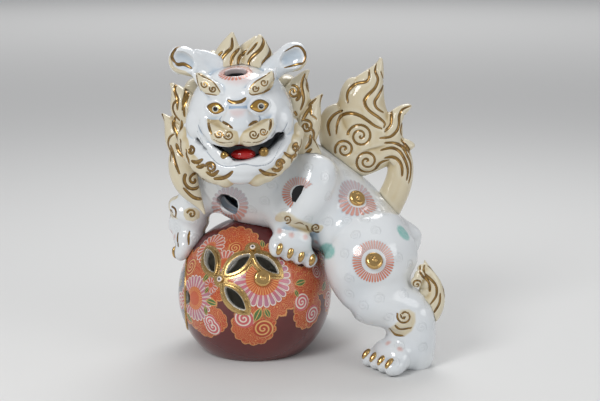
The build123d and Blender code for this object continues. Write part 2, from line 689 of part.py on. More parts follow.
with BuildPart() as head_shell:
    add(head_outer)
    cut_by(torso_outer, head_hollow, mouth.part, jaw_side.part)
    crown = face(*CROWN_HOLE)
    with BuildSketch(Plane(origin=crown, x_dir=head_plane.x_dir, z_dir=crown - head_plane.origin)):
        Ellipse(CROWN_HOLE_LENGTH / 2, CROWN_HOLE_WIDTH / 2)
    extrude(amount=2 * HEAD_WALL, both=True, mode=Mode.SUBTRACT)
finish(head_shell, "head_shell")

with BuildPart() as lower_jaw:
    add(head_outer)
    add(jaw_side.part, mode=Mode.INTERSECT)
    cut_by(head_hollow, mouth.part)
finish(lower_jaw, "lower_jaw")

with BuildPart() as tongue:
    add(spheroid(face(*TONGUE), head_plane.x_dir, TONGUE_HALF_WIDTH, TONGUE_RADIUS))
    cut_by(jaw_side.part)
finish(tongue, "tongue")

with BuildPart() as fangs:
    for side in (-1, 1):
        with Locations(mirrored(FANG, side)):
            Sphere(FANG_RADIUS)
    cut_by(jaw_side.part)
finish(fangs, "fangs")

# Face trim luted to the front of the head
with BuildPart() as nose:
    add(swelling([(face(*place), width, depth) for place, width, depth in NOSE_LINE], head_plane.x_dir))
    cut_by(head_outer)
finish(nose, "nose")

with BuildPart() as eyes:
    for side in (-1, 1):
        add(eyeball(side))
    cut_by(head_outer, nose.part)
finish(eyes, "eyes")

with BuildPart() as pupils:
    for side in (-1, 1):
        ahead = mirrored((EYE[0], EYE[1] - EYE_RADIUS, EYE[2]), side)
        add(spheroid(ahead, head_plane.y_dir, PUPIL_RADIUS / 2, PUPIL_RADIUS))
    for side in (-1, 1):
        cut_by(eyeball(side))
finish(pupils, "pupils")

for name, side in (("left", 1), ("right", -1)):
    with BuildPart() as brow:
        points = [mirrored(point, side) for point in BROW]
        add(flame(points, BROW_HALF_WIDTH, 0.8 * BROW_HALF_WIDTH))
        cut_by(head_outer, eyes.part, nose.part)
    finish(brow, f"{name}_brow")

    with BuildPart() as moustache:
        points = [mirrored(point, side) for point in MOUSTACHE]
        add(flame(points, MOUSTACHE_HALF_WIDTH, MOUSTACHE_HALF_WIDTH))
        cut_by(head_outer, nose.part, mouth.part, jaw_side.part, eyes.part)
    finish(moustache, f"{name}_moustache")

    with BuildPart() as beard:
        for curl in range(BEARD_CURLS):
            swept = (BEARD_SWEEP[1] - BEARD_SWEEP[0]) * curl / (BEARD_CURLS - 1)
            angle = math.radians(BEARD_SWEEP[0] + swept)
            across = side * BEARD_HALF_WIDTH * math.cos(angle)
            drop = BEARD_DEPTH * math.sin(angle)
            with Locations(face(across, BEARD_BACK - BEARD_LEAN * drop, MOUTH_CORNER - drop)):
                Sphere(BEARD_CURL_RADIUS)
        cut_by(head_outer, torso_outer)
    finish(beard, f"{name}_beard")

# Ears, crest and mane
ear_solids = []
for name, side in (("left", 1), ("right", -1)):
    points = [mirrored(point, side) for point in EAR]
    ear_sizes = [share * EAR_HALF_WIDTH for share in EAR_SWELL]
    ear_solid = swelling([(at, EAR_THICKNESS * size, size) for at, size in zip(points, ear_sizes)])
    ear_solids.append(ear_solid)
    scoop = mirrored((EAR[3][0], EAR[3][1] - EAR_SCOOP_FORWARD, EAR[3][2]), side)
    with BuildPart() as ear:
        add(ear_solid)
        cut_by(spheroid(scoop, points[4] - points[1], EAR_SCOOP_HALF_LENGTH, EAR_SCOOP_RADIUS), head_outer)
    finish(ear, f"{name}_ear")

with BuildPart() as crest_body:
    for spine in CREST_FLAMES:
        add(flame([face(*point) for point in spine], CREST_HALF_WIDTH, 0.85 * CREST_HALF_WIDTH))
with BuildPart() as crest:
    add(crest_body.part)
    cut_by(head_outer, *ear_solids)
finish(crest, "crest")

ruff = [(face(0, depth, rise), width, height) for depth, width, height, rise in RUFF_SECTIONS]
ruff_solid = swelling(ruff, head_plane.x_dir)
with BuildPart() as mane_ruff:
    add(ruff_solid)
    cut_by(head_outer, torso_outer, *ear_solids, *fore_solids, crest_body.part)
finish(mane_ruff, "mane_ruff")

side_locks = []
for name, locks in (("left", LEFT_LOCKS), ("right", RIGHT_LOCKS)):
    with BuildPart() as mane_locks:
        for spine in locks:
            add(flame([face(*point) for point in spine], LOCK_HALF_WIDTH, LOCK_THICKNESS))
        cut_by(ruff_solid, head_outer, torso_outer, *ear_solids, *fore_solids, crest_body.part)
    finish(mane_locks, f"mane_{name}_locks")
    side_locks.append(mane_locks.part)

with BuildPart() as mane_back_locks:
    for lock in range(BACK_LOCKS):
        across = (lock - (BACK_LOCKS - 1) / 2) * BACK_LOCK_PITCH
        round_the_ruff = math.sqrt(1 - (across / RUFF_SECTIONS[2][1]) ** 2)
        middle = RUFF_SECTIONS[2][3]
        spine = [face(across, back, (up - middle) * round_the_ruff + middle) for back, up in BACK_LOCK]
        add(flame(spine, LOCK_HALF_WIDTH, LOCK_THICKNESS, head_plane.x_dir))
    cut_by(ruff_solid, head_outer, torso_outer, crest_body.part, *side_locks)
finish(mane_back_locks, "mane_back_locks")
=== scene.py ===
"""Glazed porcelain guardian lion with its forepaws on an openwork ball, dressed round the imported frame."""

import math

import bpy
import numpy as np
from mathutils import Euler, Matrix, Vector
from mathutils.bvhtree import BVHTree
from mathutils.kdtree import KDTree


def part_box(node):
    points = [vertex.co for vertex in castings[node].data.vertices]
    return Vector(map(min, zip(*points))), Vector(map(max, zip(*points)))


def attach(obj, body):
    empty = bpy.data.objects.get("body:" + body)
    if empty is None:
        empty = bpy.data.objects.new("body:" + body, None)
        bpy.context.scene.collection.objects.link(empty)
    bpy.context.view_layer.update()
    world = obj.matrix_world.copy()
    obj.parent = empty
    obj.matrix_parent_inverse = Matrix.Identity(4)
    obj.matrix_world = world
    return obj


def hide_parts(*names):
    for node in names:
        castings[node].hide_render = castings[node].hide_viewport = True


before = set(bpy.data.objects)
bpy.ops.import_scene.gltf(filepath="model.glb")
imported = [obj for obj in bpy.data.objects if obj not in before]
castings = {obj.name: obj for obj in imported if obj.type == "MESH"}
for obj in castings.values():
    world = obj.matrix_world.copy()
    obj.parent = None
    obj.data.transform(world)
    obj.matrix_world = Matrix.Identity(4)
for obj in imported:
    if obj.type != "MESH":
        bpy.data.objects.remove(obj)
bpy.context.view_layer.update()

# The table. A wide sheet of pale matt paper that the figure stands on, lit by a large soft lamp at the left
# front, a weaker one at the right, one overhead and one far behind, with a camera at the photograph's angle.
TABLE_SIZE = 40.0
PAPER_WHITE = (0.74, 0.74, 0.73, 1)
bpy.ops.object.select_all(action="DESELECT")
bpy.ops.mesh.primitive_plane_add(size=TABLE_SIZE, location=(0, 0, 0))
table = bpy.context.object
table.name = "table_paper"
paper = bpy.data.materials.new("matt_paper")
paper.use_nodes = True
paper_shader = paper.node_tree.nodes["Principled BSDF"]
paper_shader.inputs["Base Color"].default_value = PAPER_WHITE
paper_shader.inputs["Roughness"].default_value = 0.9
table.data.materials.append(paper)

world = bpy.data.worlds.new("studio")
bpy.context.scene.world = world
world.use_nodes = True
room = world.node_tree.nodes["Background"]
room.inputs["Color"].default_value = (0.96, 0.97, 1.0, 1)
room.inputs["Strength"].default_value = 0.4


def soft_lamp(name, place, aim, size, watts):
    bpy.ops.object.light_add(type="AREA", location=place)
    lamp = bpy.context.object
    lamp.name = name
    lamp.data.shape = "DISK"
    lamp.data.size = size
    lamp.data.energy = watts
    lamp.rotation_euler = (Vector(aim) - Vector(place)).to_track_quat("-Z", "Y").to_euler()


FIGURE_MIDDLE = (0, 0, 0.15)
soft_lamp("key_lamp", (-0.75, -1.15, 1.15), FIGURE_MIDDLE, size=0.7, watts=13)
soft_lamp("fill_lamp", (1.25, -0.75, 0.65), FIGURE_MIDDLE, size=0.9, watts=4)
soft_lamp("top_lamp", (0.2, 0.75, 1.35), FIGURE_MIDDLE, size=0.8, watts=7)
soft_lamp("far_lamp", (0, 6, 3.2), (0, 6, 0), size=6.0, watts=75)

CAMERA_PLACE = (0.0443, -1.2101, 0.3819)
CAMERA_PITCH = math.radians(79)
PHOTO_WIDTH = 600
PHOTO_HEIGHT = 401
FOCAL_PIXELS = 1271
SENSOR_WIDTH = 36
bpy.ops.object.camera_add(location=CAMERA_PLACE, rotation=(CAMERA_PITCH, 0, 0))
camera = bpy.context.object
camera.data.sensor_width = SENSOR_WIDTH
camera.data.lens = SENSOR_WIDTH * FOCAL_PIXELS / PHOTO_WIDTH
bpy.context.scene.camera = camera
bpy.context.scene.view_settings.view_transform = "Standard"

# The ball. A slip-cast hollow sphere with a flat foot, pierced by pointed leaves while the clay was damp,
# glazed maroon and painted with brocade: orange grounds, flowers, scrolls and leaves in raised enamel.
BALL_CENTRE = Vector((0, 0, 0.0559))
BALL_RADIUS = 0.075
MM = 0.001


def cast(name, solids, moves=None):
    """One new piece from copies of CAD solids, joined and merged; a copy may be moved before it is joined."""
    bpy.ops.object.select_all(action="DESELECT")
    for solid in solids:
        copy = bpy.data.objects.new(solid + "_copy", castings[solid].data.copy())
        if moves and solid in moves:
            copy.data.transform(moves[solid])
        bpy.context.scene.collection.objects.link(copy)
        copy.select_set(True)
        bpy.context.view_layer.objects.active = copy
    if len(solids) > 1:
        bpy.ops.object.join()
    piece = bpy.context.object
    piece.name = name
    piece.data.name = name
    piece.data.materials.clear()
    bpy.ops.object.mode_set(mode="EDIT")
    bpy.ops.mesh.select_all(action="SELECT")
    bpy.ops.mesh.remove_doubles(threshold=1e-6)
    bpy.ops.object.mode_set(mode="OBJECT")
    return piece


def take_up(piece):
    """Makes a piece the active one and the only one selected."""
    bpy.ops.object.select_all(action="DESELECT")
    piece.select_set(True)
    bpy.context.view_layer.objects.active = piece


def join_all(parts):
    """Joins parts into the first of them."""
    take_up(parts[0])
    for part in parts[1:]:
        part.select_set(True)
    bpy.ops.object.join()
    return parts[0]


def sponge(piece, grain, passes):
    """Turns luted castings into one skin and smooths it, as a wet sponge does before firing."""
    take_up(piece)
    skin = piece.modifiers.new("skin", "REMESH")
    skin.mode = "VOXEL"
    skin.voxel_size = grain
    skin.use_smooth_shade = True
    bpy.ops.object.modifier_apply(modifier="skin")
    smooth = piece.modifiers.new("sponge", "SMOOTH")
    smooth.factor = 0.5
    smooth.iterations = passes
    bpy.ops.object.modifier_apply(modifier="sponge")


def points_of(piece):
    places = np.empty(len(piece.data.vertices) * 3)
    piece.data.vertices.foreach_get("co", places)
    return places.reshape(-1, 3)


def normals_of(piece):
    directions = np.empty(len(piece.data.vertices) * 3)
    piece.data.vertex_normals.foreach_get("vector", directions)
    return directions.reshape(-1, 3)


def skin_tree(piece):
    bpy.context.view_layer.update()
    return BVHTree.FromObject(piece, bpy.context.evaluated_depsgraph_get())


INSIDE_LIFT = 0.3
INSIDE_SLANT = 1.2
INSIDE_CUT = 0.8


def thin_inside(piece):
    """Cuts most faces of a hollow casting's inner walls, at points whose five rays all hit the piece."""
    tree = skin_tree(piece)
    skew = Vector((0.31, 0.57, 0.76))
    hidden = []
    for index, (place, out) in enumerate(zip(points_of(piece), normals_of(piece))):
        out = Vector(out)
        start = Vector(place) + out * INSIDE_LIFT * MM
        aside = out.cross(skew).normalized() * INSIDE_SLANT
        along = out.cross(aside)
        rays = (out, out + aside, out - aside, out + along, out - along)
        if all(tree.ray_cast(start, ray)[0] is not None for ray in rays):
            hidden.append(index)
    piece.vertex_groups.new(name="inside").add(hidden, 1.0, "REPLACE")
    take_up(piece)
    thinning = piece.modifiers.new("thinning", "DECIMATE")
    thinning.ratio = 1 - INSIDE_CUT * len(hidden) / len(piece.data.vertices)
    thinning.vertex_group = "inside"
    bpy.ops.object.modifier_apply(modifier="thinning")
    piece.vertex_groups.clear()


def keep_value(piece, name, values):
    layer = piece.data.attributes.get(name) or piece.data.attributes.new(name, "FLOAT", "POINT")
    layer.data.foreach_set("value", np.asarray(values, dtype=np.float32))


def keep_place(piece, name, rows):
    layer = piece.data.attributes.get(name) or piece.data.attributes.new(name, "FLOAT_VECTOR", "POINT")
    layer.data.foreach_set("vector", np.asarray(rows, dtype=np.float32).ravel())


def gaps_to(piece, solids, limit):
    """Distance from each point of a piece to the nearest of some CAD solids, up to a limit."""
    places = points_of(piece)
    nearest = np.full(len(places), limit)
    for solid in solids:
        mesh = castings[solid].data
        corners = [point.co for point in mesh.vertices]
        tree = BVHTree.FromPolygons(corners, [side.vertices for side in mesh.polygons])
        low, high = (np.array(corner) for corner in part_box(solid))
        beside = ((places > low - limit) & (places < high + limit)).all(axis=1)
        for index in np.flatnonzero(beside):
            distance = tree.find_nearest(places[index], nearest[index])[3]
            if distance is not None:
                nearest[index] = distance
    return nearest


FAR_OFF = 9.0


def lay_out(piece, name, motifs):
    """Stores the place on the nearest motif's face over its reach, 2 less its distance, and its make."""
    places = points_of(piece)
    nearest = np.full(len(places), FAR_OFF)
    local = np.zeros((len(places), 3))
    make = np.zeros((len(places), 3))
    for centre, across, upward, reach, kind in motifs:
        offset = (places - np.array(centre)) / reach
        distance = np.linalg.norm(offset, axis=1)
        closer = distance < nearest
        nearest[closer] = distance[closer]
        local[closer, 0] = offset[closer] @ np.array(across)
        local[closer, 1] = offset[closer] @ np.array(upward)
        make[closer] = kind
    local[:, 2] = np.maximum(2 - nearest, 0)
    keep_place(piece, name, local)
    keep_place(piece, name + "_make", make)


def on_ball(azimuth, elevation):
    """Outward direction, level direction and uphill direction on the ball, from degrees."""
    turn = math.radians(azimuth)
    rise = math.radians(elevation)
    out = Vector((math.sin(turn) * math.cos(rise), -math.cos(turn) * math.cos(rise), math.sin(rise)))
    level = Vector((math.cos(turn), math.sin(turn), 0))
    return out, level, out.cross(level)


PAINTED_SIDES = (0, 217)


def ball_motifs(rows):
    """Motifs on both painted sides, from azimuth, elevation, reach in mm, spin in degrees and make."""
    motifs = []
    for side in PAINTED_SIDES:
        for azimuth, elevation, reach, spin, *kind in rows:
            out, level, uphill = on_ball(azimuth + side, elevation)
            turn = math.radians(spin)
            across = level * math.cos(turn) + uphill * math.sin(turn)
            upward = uphill * math.cos(turn) - level * math.sin(turn)
            kind = (kind + [0, 0, 0])[:3]
            motifs.append((BALL_CENTRE + out * BALL_RADIUS, across, upward, reach * MM, kind))
    return motifs


ball = cast("ball_body", ["ball_shell"])
sponge(ball, grain=0.0012, passes=2)
thin_inside(ball)
BALL_FLOWERS = (  # then petals, share of the heart, and warmth of the petals
    (8, 24, 27, 0, 24, 0.58, 0.1),
    (-50, 44, 17, 10, 18, 0.42, 0.9),
    (-59, 3, 12.5, 0, 16, 0.54, 0.7),
    (-33, 17, 8, 0, 12, 0.3, 0.9),
    (95, 5, 22, 0, 24, 0.5, 0.1),
    (118, 34, 14, 0, 18, 0.4, 0.8),
)
BALL_SCROLLS = (
    (-6, -5, 9.5, 40, 0.2),
    (38, 4, 8.5, 0, 0.1),
    (-33, -10, 8, 120, 0.0),
    (49, -7, 9, 200, 0.1),
    (8, -13, 10, 300, 1.0),
    (-19, 47, 7, 90, 1.0),
    (72, -2, 9, 30, 0.2),
    (112, -14, 9, 150, 0.1),
    (80, 26, 9, 250, 1.0),
    (60, 22, 7, 10, 0.3),
)
BALL_LEAVES = (
    (11, 51, 5, 90),
    (39, 18, 7, 5),
    (34, 11, 4.5, 110),
    (4, -2, 8, 65),
    (11, -1, 5.5, 115),
    (-31, 5, 7, -10),
    (-36, 13, 4, 60),
    (-36, -2, 5, 100),
    (66, 10, 7, 30),
    (86, -12, 7, 140),
    (104, 22, 6, 60),
)
BROCADE_GROUNDS = (  # then lobes round the edge
    (8, 22, 40, 0, 22),
    (-46, 22, 36, 0, 20),
    (-25, 45, 32, 0, 18),
    (-45, -3, 24, 0, 14),
    (1, -11, 22, 0, 14),
    (42, 14, 21, 0, 13),
    (45, -4, 19, 0, 12),
    (-28, -8, 13, 0, 9),
    (88, 8, 34, 0, 20),
    (104, -10, 19, 0, 12),
    (66, 20, 22, 0, 13),
    (118, 34, 22, 0, 13),
)
ROUNDELS = ((-90, 0, 37.5, 0),)
lay_out(ball, "flower", ball_motifs(BALL_FLOWERS))
lay_out(ball, "scroll", ball_motifs(BALL_SCROLLS))
lay_out(ball, "leaf", ball_motifs(BALL_LEAVES))
lay_out(ball, "ground", ball_motifs(BROCADE_GROUNDS))
lay_out(ball, "roundel", ball_motifs(ROUNDELS))
GOLD_BAND = 2.3 * MM
STUD_BAND = 4.6 * MM
rim_gap = gaps_to(ball, ["ball_leaf_rims"], 2 * GOLD_BAND) / GOLD_BAND
stud_gap = gaps_to(ball, ["ball_hub_studs"], 2 * STUD_BAND) / STUD_BAND
keep_value(ball, "band", 2 - np.minimum(rim_gap, stud_gap))
GLAZE_DEPTH = 0.5 * MM
CUT_FACING = 0.7
from_middle = points_of(ball) - np.array(BALL_CENTRE)
depth_in_wall = BALL_RADIUS - np.linalg.norm(from_middle, axis=1)
facing_out = (normals_of(ball) * from_middle).sum(axis=1) / np.linalg.norm(from_middle, axis=1)
in_cut = (depth_in_wall > GLAZE_DEPTH) & (facing_out < CUT_FACING)
keep_value(ball, "bare", np.where(in_cut, 1.0, 0.0))


def shader_group(name, inputs, outputs):
    """An empty shader node group with those sockets, and its input and output nodes."""
    group = bpy.data.node_groups.new(name, "ShaderNodeTree")
    for socket, kind in inputs:
        group.interface.new_socket(socket, in_out="INPUT", socket_type=kind)
    for socket, kind in outputs:
        group.interface.new_socket(socket, in_out="OUTPUT", socket_type=kind)
    return group, group.nodes.new("NodeGroupInput"), group.nodes.new("NodeGroupOutput")


def feed(tree, socket, value):
    """Links a socket to another, or sets it to a plain value."""
    if isinstance(value, bpy.types.NodeSocket):
        tree.links.new(value, socket)
    else:
        socket.default_value = value


def sum_of(tree, operation, first, second=0.0):
    node = tree.nodes.new("ShaderNodeMath")
    node.operation = operation
    feed(tree, node.inputs[0], first)
    feed(tree, node.inputs[1], second)
    return node.outputs[0]


def times(tree, first, second):
    return sum_of(tree, "MULTIPLY", first, second)


def soft_step(tree, value, low, high):
    """0 below low, 1 above high, with a smooth rise; low above high turns it round."""
    node = tree.nodes.new("ShaderNodeMapRange")
    node.interpolation_type = "SMOOTHSTEP"
    feed(tree, node.inputs["Value"], value)
    feed(tree, node.inputs["From Min"], low)
    feed(tree, node.inputs["From Max"], high)
    return node.outputs["Result"]


def over(tree, mask, below, above):
    """Colour above laid over colour below where the mask is 1."""
    node = tree.nodes.new("ShaderNodeMix")
    node.data_type = "RGBA"
    feed(tree, node.inputs[0], mask)
    feed(tree, node.inputs[6], below)
    feed(tree, node.inputs[7], above)
    return node.outputs[2]


def attribute(tree, name, output="Fac"):
    node = tree.nodes.new("ShaderNodeAttribute")
    node.attribute_name = name
    return node.outputs[output]


def split(tree, vector):
    node = tree.nodes.new("ShaderNodeSeparateXYZ")
    tree.links.new(vector, node.inputs[0])
    return node.outputs


def cloud(tree, scale, detail=2.0):
    """Noise on Object coordinates, 0 to 1."""
    place = tree.nodes.new("ShaderNodeTexCoord")
    noise = tree.nodes.new("ShaderNodeTexNoise")
    noise.inputs["Scale"].default_value = scale
    noise.inputs["Detail"].default_value = detail
    tree.links.new(place.outputs["Object"], noise.inputs["Vector"])
    return noise.outputs["Fac"]


def frayed(tree, value, scale, share):
    """A value with a share of noise added, for the uneven edge of a brush."""
    return sum_of(tree, "ADD", value, times(tree, cloud(tree, scale), share))


def round_and_turn(tree, east, north):
    """Distance from a motif's middle and its bearing in turns."""
    squares = sum_of(tree, "ADD", times(tree, east, east), times(tree, north, north))
    bearing = sum_of(tree, "DIVIDE", sum_of(tree, "ARCTAN2", north, east), 2 * math.pi)
    return sum_of(tree, "SQRT", squares), bearing


PETAL_HALF = 0.47
PETAL_SHOULDER = 0.72
petal_ring, petals_in, petals_out = shader_group(
    "petal_ring",
    (("Place", "NodeSocketVector"), ("Petals", "NodeSocketFloat"), ("Heart", "NodeSocketFloat")),
    (("Fill", "NodeSocketFloat"), ("Outline", "NodeSocketFloat"), ("Heart", "NodeSocketFloat"),
     ("Along", "NodeSocketFloat")),
)
east, north, close = split(petal_ring, petals_in.outputs["Place"])
radius, bearing = round_and_turn(petal_ring, east, north)
sector = sum_of(petal_ring, "FRACT", times(petal_ring, bearing, petals_in.outputs["Petals"]))
aside = sum_of(petal_ring, "DIVIDE", sum_of(petal_ring, "SUBTRACT", sector, 0.5), PETAL_HALF)
along = sum_of(petal_ring, "DIVIDE", sum_of(petal_ring, "SUBTRACT", radius, petals_in.outputs["Heart"]),
               sum_of(petal_ring, "SUBTRACT", 1.0, petals_in.outputs["Heart"]))
past_shoulder = sum_of(petal_ring, "MAXIMUM", sum_of(petal_ring, "SUBTRACT", along, PETAL_SHOULDER), 0.0)
cap = sum_of(petal_ring, "DIVIDE", past_shoulder, 1 - PETAL_SHOULDER)
edge = sum_of(petal_ring, "ADD", times(petal_ring, aside, aside), times(petal_ring, cap, cap))
near = soft_step(petal_ring, close, 0.88, 0.92)
started = times(petal_ring, soft_step(petal_ring, along, -0.02, 0.03), near)
fill = times(petal_ring, soft_step(petal_ring, edge, 0.56, 0.44), started)
whole = times(petal_ring, soft_step(petal_ring, edge, 1.05, 0.95), started)
heart = times(petal_ring, soft_step(petal_ring, along, 0.03, -0.02), near)
petal_ring.links.new(fill, petals_out.inputs["Fill"])
petal_ring.links.new(sum_of(petal_ring, "SUBTRACT", whole, fill), petals_out.inputs["Outline"])
petal_ring.links.new(heart, petals_out.inputs["Heart"])
petal_ring.links.new(along, petals_out.inputs["Along"])

scroll_line, scroll_in, scroll_out = shader_group(
    "scroll_line",
    (("Place", "NodeSocketVector"), ("Turns", "NodeSocketFloat")),
    (("Line", "NodeSocketFloat"), ("Disc", "NodeSocketFloat")),
)
east, north, close = split(scroll_line, scroll_in.outputs["Place"])
radius, bearing = round_and_turn(scroll_line, east, north)
wound = sum_of(scroll_line, "ADD", bearing, times(scroll_line, radius, scroll_in.outputs["Turns"]))
from_line = sum_of(scroll_line, "SUBTRACT", sum_of(scroll_line, "FRACT", wound), 0.5)
band = sum_of(scroll_line, "ABSOLUTE", from_line)
near = soft_step(scroll_line, close, 0.88, 0.92)
disc = times(scroll_line, soft_step(scroll_line, radius, 1.0, 0.94), near)
line = times(scroll_line, soft_step(scroll_line, band, 0.24, 0.17), disc)
scroll_line.links.new(line, scroll_out.inputs["Line"])
scroll_line.links.new(disc, scroll_out.inputs["Disc"])


def place_group(tree, group, **values):
    node = tree.nodes.new("ShaderNodeGroup")
    node.node_tree = group
    for socket, value in values.items():
        feed(tree, node.inputs[socket], value)
    return node.outputs


def glazed(name, roughness=0.12):
    """A glazed material with its tree and its shader."""
    material = bpy.data.materials.new(name)
    material.use_nodes = True
    shader = material.node_tree.nodes["Principled BSDF"]
    shader.inputs["Roughness"].default_value = roughness
    shader.inputs["Coat Weight"].default_value = 0.4
    shader.inputs["Coat Roughness"].default_value = 0.06
    return material, material.node_tree, shader


def raise_by(tree, shader, height, distance):
    """Feeds a height to the shader's normal, in metres."""
    bump = tree.nodes.new("ShaderNodeBump")
    bump.inputs["Distance"].default_value = distance
    bump.inputs["Strength"].default_value = 1.0
    tree.links.new(height, bump.inputs["Height"])
    tree.links.new(bump.outputs["Normal"], shader.inputs["Normal"])


brocade, tree, shader = glazed("brocade_enamel", 0.16)
MAROON = (0.085, 0.012, 0.013, 1)
MAROON_THIN = (0.15, 0.02, 0.018, 1)
ORANGE = (0.56, 0.105, 0.033, 1)
ORANGE_DEEP = (0.44, 0.05, 0.02, 1)
GOLD_YELLOW = (0.75, 0.42, 0.14, 1)
SLIP_WHITE = (0.82, 0.74, 0.68, 1)
LILAC = (0.36, 0.25, 0.38, 1)
ROSE = (0.62, 0.13, 0.15, 1)
LEAF_GREEN = (0.075, 0.16, 0.035, 1)
NIGHT_BLUE = (0.012, 0.022, 0.07, 1)
BARE_CLAY = (0.74, 0.72, 0.66, 1)
BALL_GOLD = (0.60, 0.40, 0.16, 1)
CURL_SCALE = 210
CURL_RINGS = 22.0
colour = over(tree, cloud(tree, 45), MAROON, MAROON_THIN)
curls = tree.nodes.new("ShaderNodeTexVoronoi")
curls.inputs["Scale"].default_value = CURL_SCALE
place = tree.nodes.new("ShaderNodeTexCoord")
tree.links.new(place.outputs["Object"], curls.inputs["Vector"])
ripple = sum_of(tree, "SINE", times(tree, curls.outputs["Distance"], CURL_RINGS))
east, north, close = split(tree, attribute(tree, "ground", "Vector"))
_, bearing = round_and_turn(tree, east, north)
lobes = split(tree, attribute(tree, "ground_make", "Vector"))[0]
lobe = sum_of(tree, "ABSOLUTE", sum_of(tree, "SINE", times(tree, times(tree, bearing, lobes), math.pi)))
LOBE_DEPTH = 0.1
TREMBLE = 0.09
lobed = sum_of(tree, "ADD", close, times(tree, lobe, LOBE_DEPTH))
inside = sum_of(tree, "SUBTRACT", lobed, 1 + LOBE_DEPTH)
tremble = sum_of(tree, "SUBTRACT", cloud(tree, 240, 1.0), 0.5)
inside = sum_of(tree, "ADD", inside, times(tree, tremble, TREMBLE))
on_ground = soft_step(tree, inside, -0.008, 0.008)
ground_edge = times(tree, on_ground, soft_step(tree, inside, 0.045, 0.03))
fine_line = times(tree, soft_step(tree, ripple, 0.55, 0.95), on_ground)
colour = over(tree, on_ground, colour, over(tree, cloud(tree, 60), ORANGE, ORANGE_DEEP))
colour = over(tree, times(tree, sum_of(tree, "MAXIMUM", fine_line, ground_edge), 0.7), colour, GOLD_YELLOW)
in_roundel = soft_step(tree, split(tree, attribute(tree, "roundel", "Vector"))[2], 1.0, 1.015)
blue_panel = over(tree, soft_step(tree, ripple, 0.7, 0.95), NIGHT_BLUE, SLIP_WHITE)
colour = over(tree, in_roundel, colour, blue_panel)
scrolls = place_group(tree, scroll_line, Place=attribute(tree, "scroll", "Vector"), Turns=2.6)
scroll_heat = split(tree, attribute(tree, "scroll_make", "Vector"))[0]
colour = over(tree, scrolls["Disc"], colour, over(tree, scroll_heat, ROSE, ORANGE_DEEP))
colour = over(tree, scrolls["Line"], colour, over(tree, scroll_heat, SLIP_WHITE, GOLD_YELLOW))
flower_place = attribute(tree, "flower", "Vector")
petals, hearts, warmth = split(tree, attribute(tree, "flower_make", "Vector"))
flowers = place_group(tree, petal_ring, Place=flower_place, Petals=petals, Heart=hearts)
stamens = place_group(tree, petal_ring, Place=flower_place, Petals=36.0, Heart=0.3)
colour = over(tree, flowers["Heart"], colour, ORANGE)
colour = over(tree, times(tree, stamens["Outline"], flowers["Heart"]), colour, GOLD_YELLOW)
petal_tint = over(tree, warmth, over(tree, cloud(tree, 70), LILAC, ROSE), ORANGE)
petal_tint = over(tree, times(tree, soft_step(tree, flowers["Along"], 0.45, 0.0), 0.6), petal_tint, ROSE)
colour = over(tree, flowers["Fill"], colour, petal_tint)
colour = over(tree, flowers["Outline"], colour, SLIP_WHITE)
east, north, close = split(tree, attribute(tree, "leaf", "Vector"))
rib = sum_of(tree, "ABSOLUTE", north)
lens = sum_of(tree, "ADD", times(tree, east, east), times(tree, rib, 2.0))
near_leaf = soft_step(tree, close, 0.9, 0.95)
leaf_whole = times(tree, soft_step(tree, lens, 1.0, 0.94), near_leaf)
leaf_inner = times(tree, soft_step(tree, lens, 0.82, 0.74), near_leaf)
midrib = times(tree, soft_step(tree, rib, 0.06, 0.03), leaf_inner)
colour = over(tree, leaf_whole, colour, GOLD_YELLOW)
colour = over(tree, leaf_inner, colour, LEAF_GREEN)
colour = over(tree, midrib, colour, GOLD_YELLOW)
on_band = soft_step(tree, attribute(tree, "band"), 0.97, 1.05)
colour = over(tree, on_band, colour, BALL_GOLD)
colour = over(tree, attribute(tree, "bare"), colour, BARE_CLAY)
tree.links.new(colour, shader.inputs["Base Color"])
gilt_band = times(tree, on_band, sum_of(tree, "SUBTRACT", 1.0, attribute(tree, "bare")))
tree.links.new(times(tree, gilt_band, 0.95), shader.inputs["Metallic"])
tree.links.new(sum_of(tree, "ADD", times(tree, gilt_band, 0.1), 0.16), shader.inputs["Roughness"])
ENAMEL_HEIGHT = 0.0003
relief = sum_of(tree, "ADD", sum_of(tree, "ADD", scrolls["Line"], flowers["Outline"]),
                sum_of(tree, "ADD", times(tree, fine_line, 0.4), sum_of(tree, "ADD", leaf_whole, on_band)))
raise_by(tree, shader, relief, ENAMEL_HEIGHT)
ball.data.materials.append(brocade)
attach(ball, "root")
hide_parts("ball_shell")

# Gilding on the ball. Raised leaf rims and the large flower's heart are burnished gold, fired on at low heat
# over the glaze. The studs where leaves meet are enamelled white within a gold rim, with a dark grey centre
# painted as the shade inside their piercing, and a thin gold ring runs round each side panel.


THIN_GOLD = 0.55
RUBBED_ROUGHNESS = 0.16


def gilt(name, tint, roughness):
    """Burnished gold over glaze, thinner and browner in places."""
    material, tree, shader = glazed(name, roughness)
    shader.inputs["Metallic"].default_value = 1.0
    shader.inputs["Coat Weight"].default_value = 0.0
    rubbed = soft_step(tree, cloud(tree, 160, 4.0), 0.5, 0.72)
    thin = tuple(THIN_GOLD * part for part in tint[:3]) + (1,)
    tree.links.new(over(tree, rubbed, tint, thin), shader.inputs["Base Color"])
    rough = sum_of(tree, "ADD", times(tree, rubbed, RUBBED_ROUGHNESS), roughness)
    tree.links.new(rough, shader.inputs["Roughness"])
    return material


bright_gold = gilt("bright_gold", (0.66, 0.43, 0.17, 1), 0.2)
dark_gold = gilt("dark_gold", (0.40, 0.25, 0.085, 1), 0.26)


def trim_piece(name, solids, material, grain, passes, moves=None):
    """Smooth copies of some CAD solids, which they stand for, in gold or another finish."""
    piece = cast(name, solids, moves)
    sponge(piece, grain, passes)
    piece.data.materials.append(material)
    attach(piece, "root")
    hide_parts(*solids)
    return piece


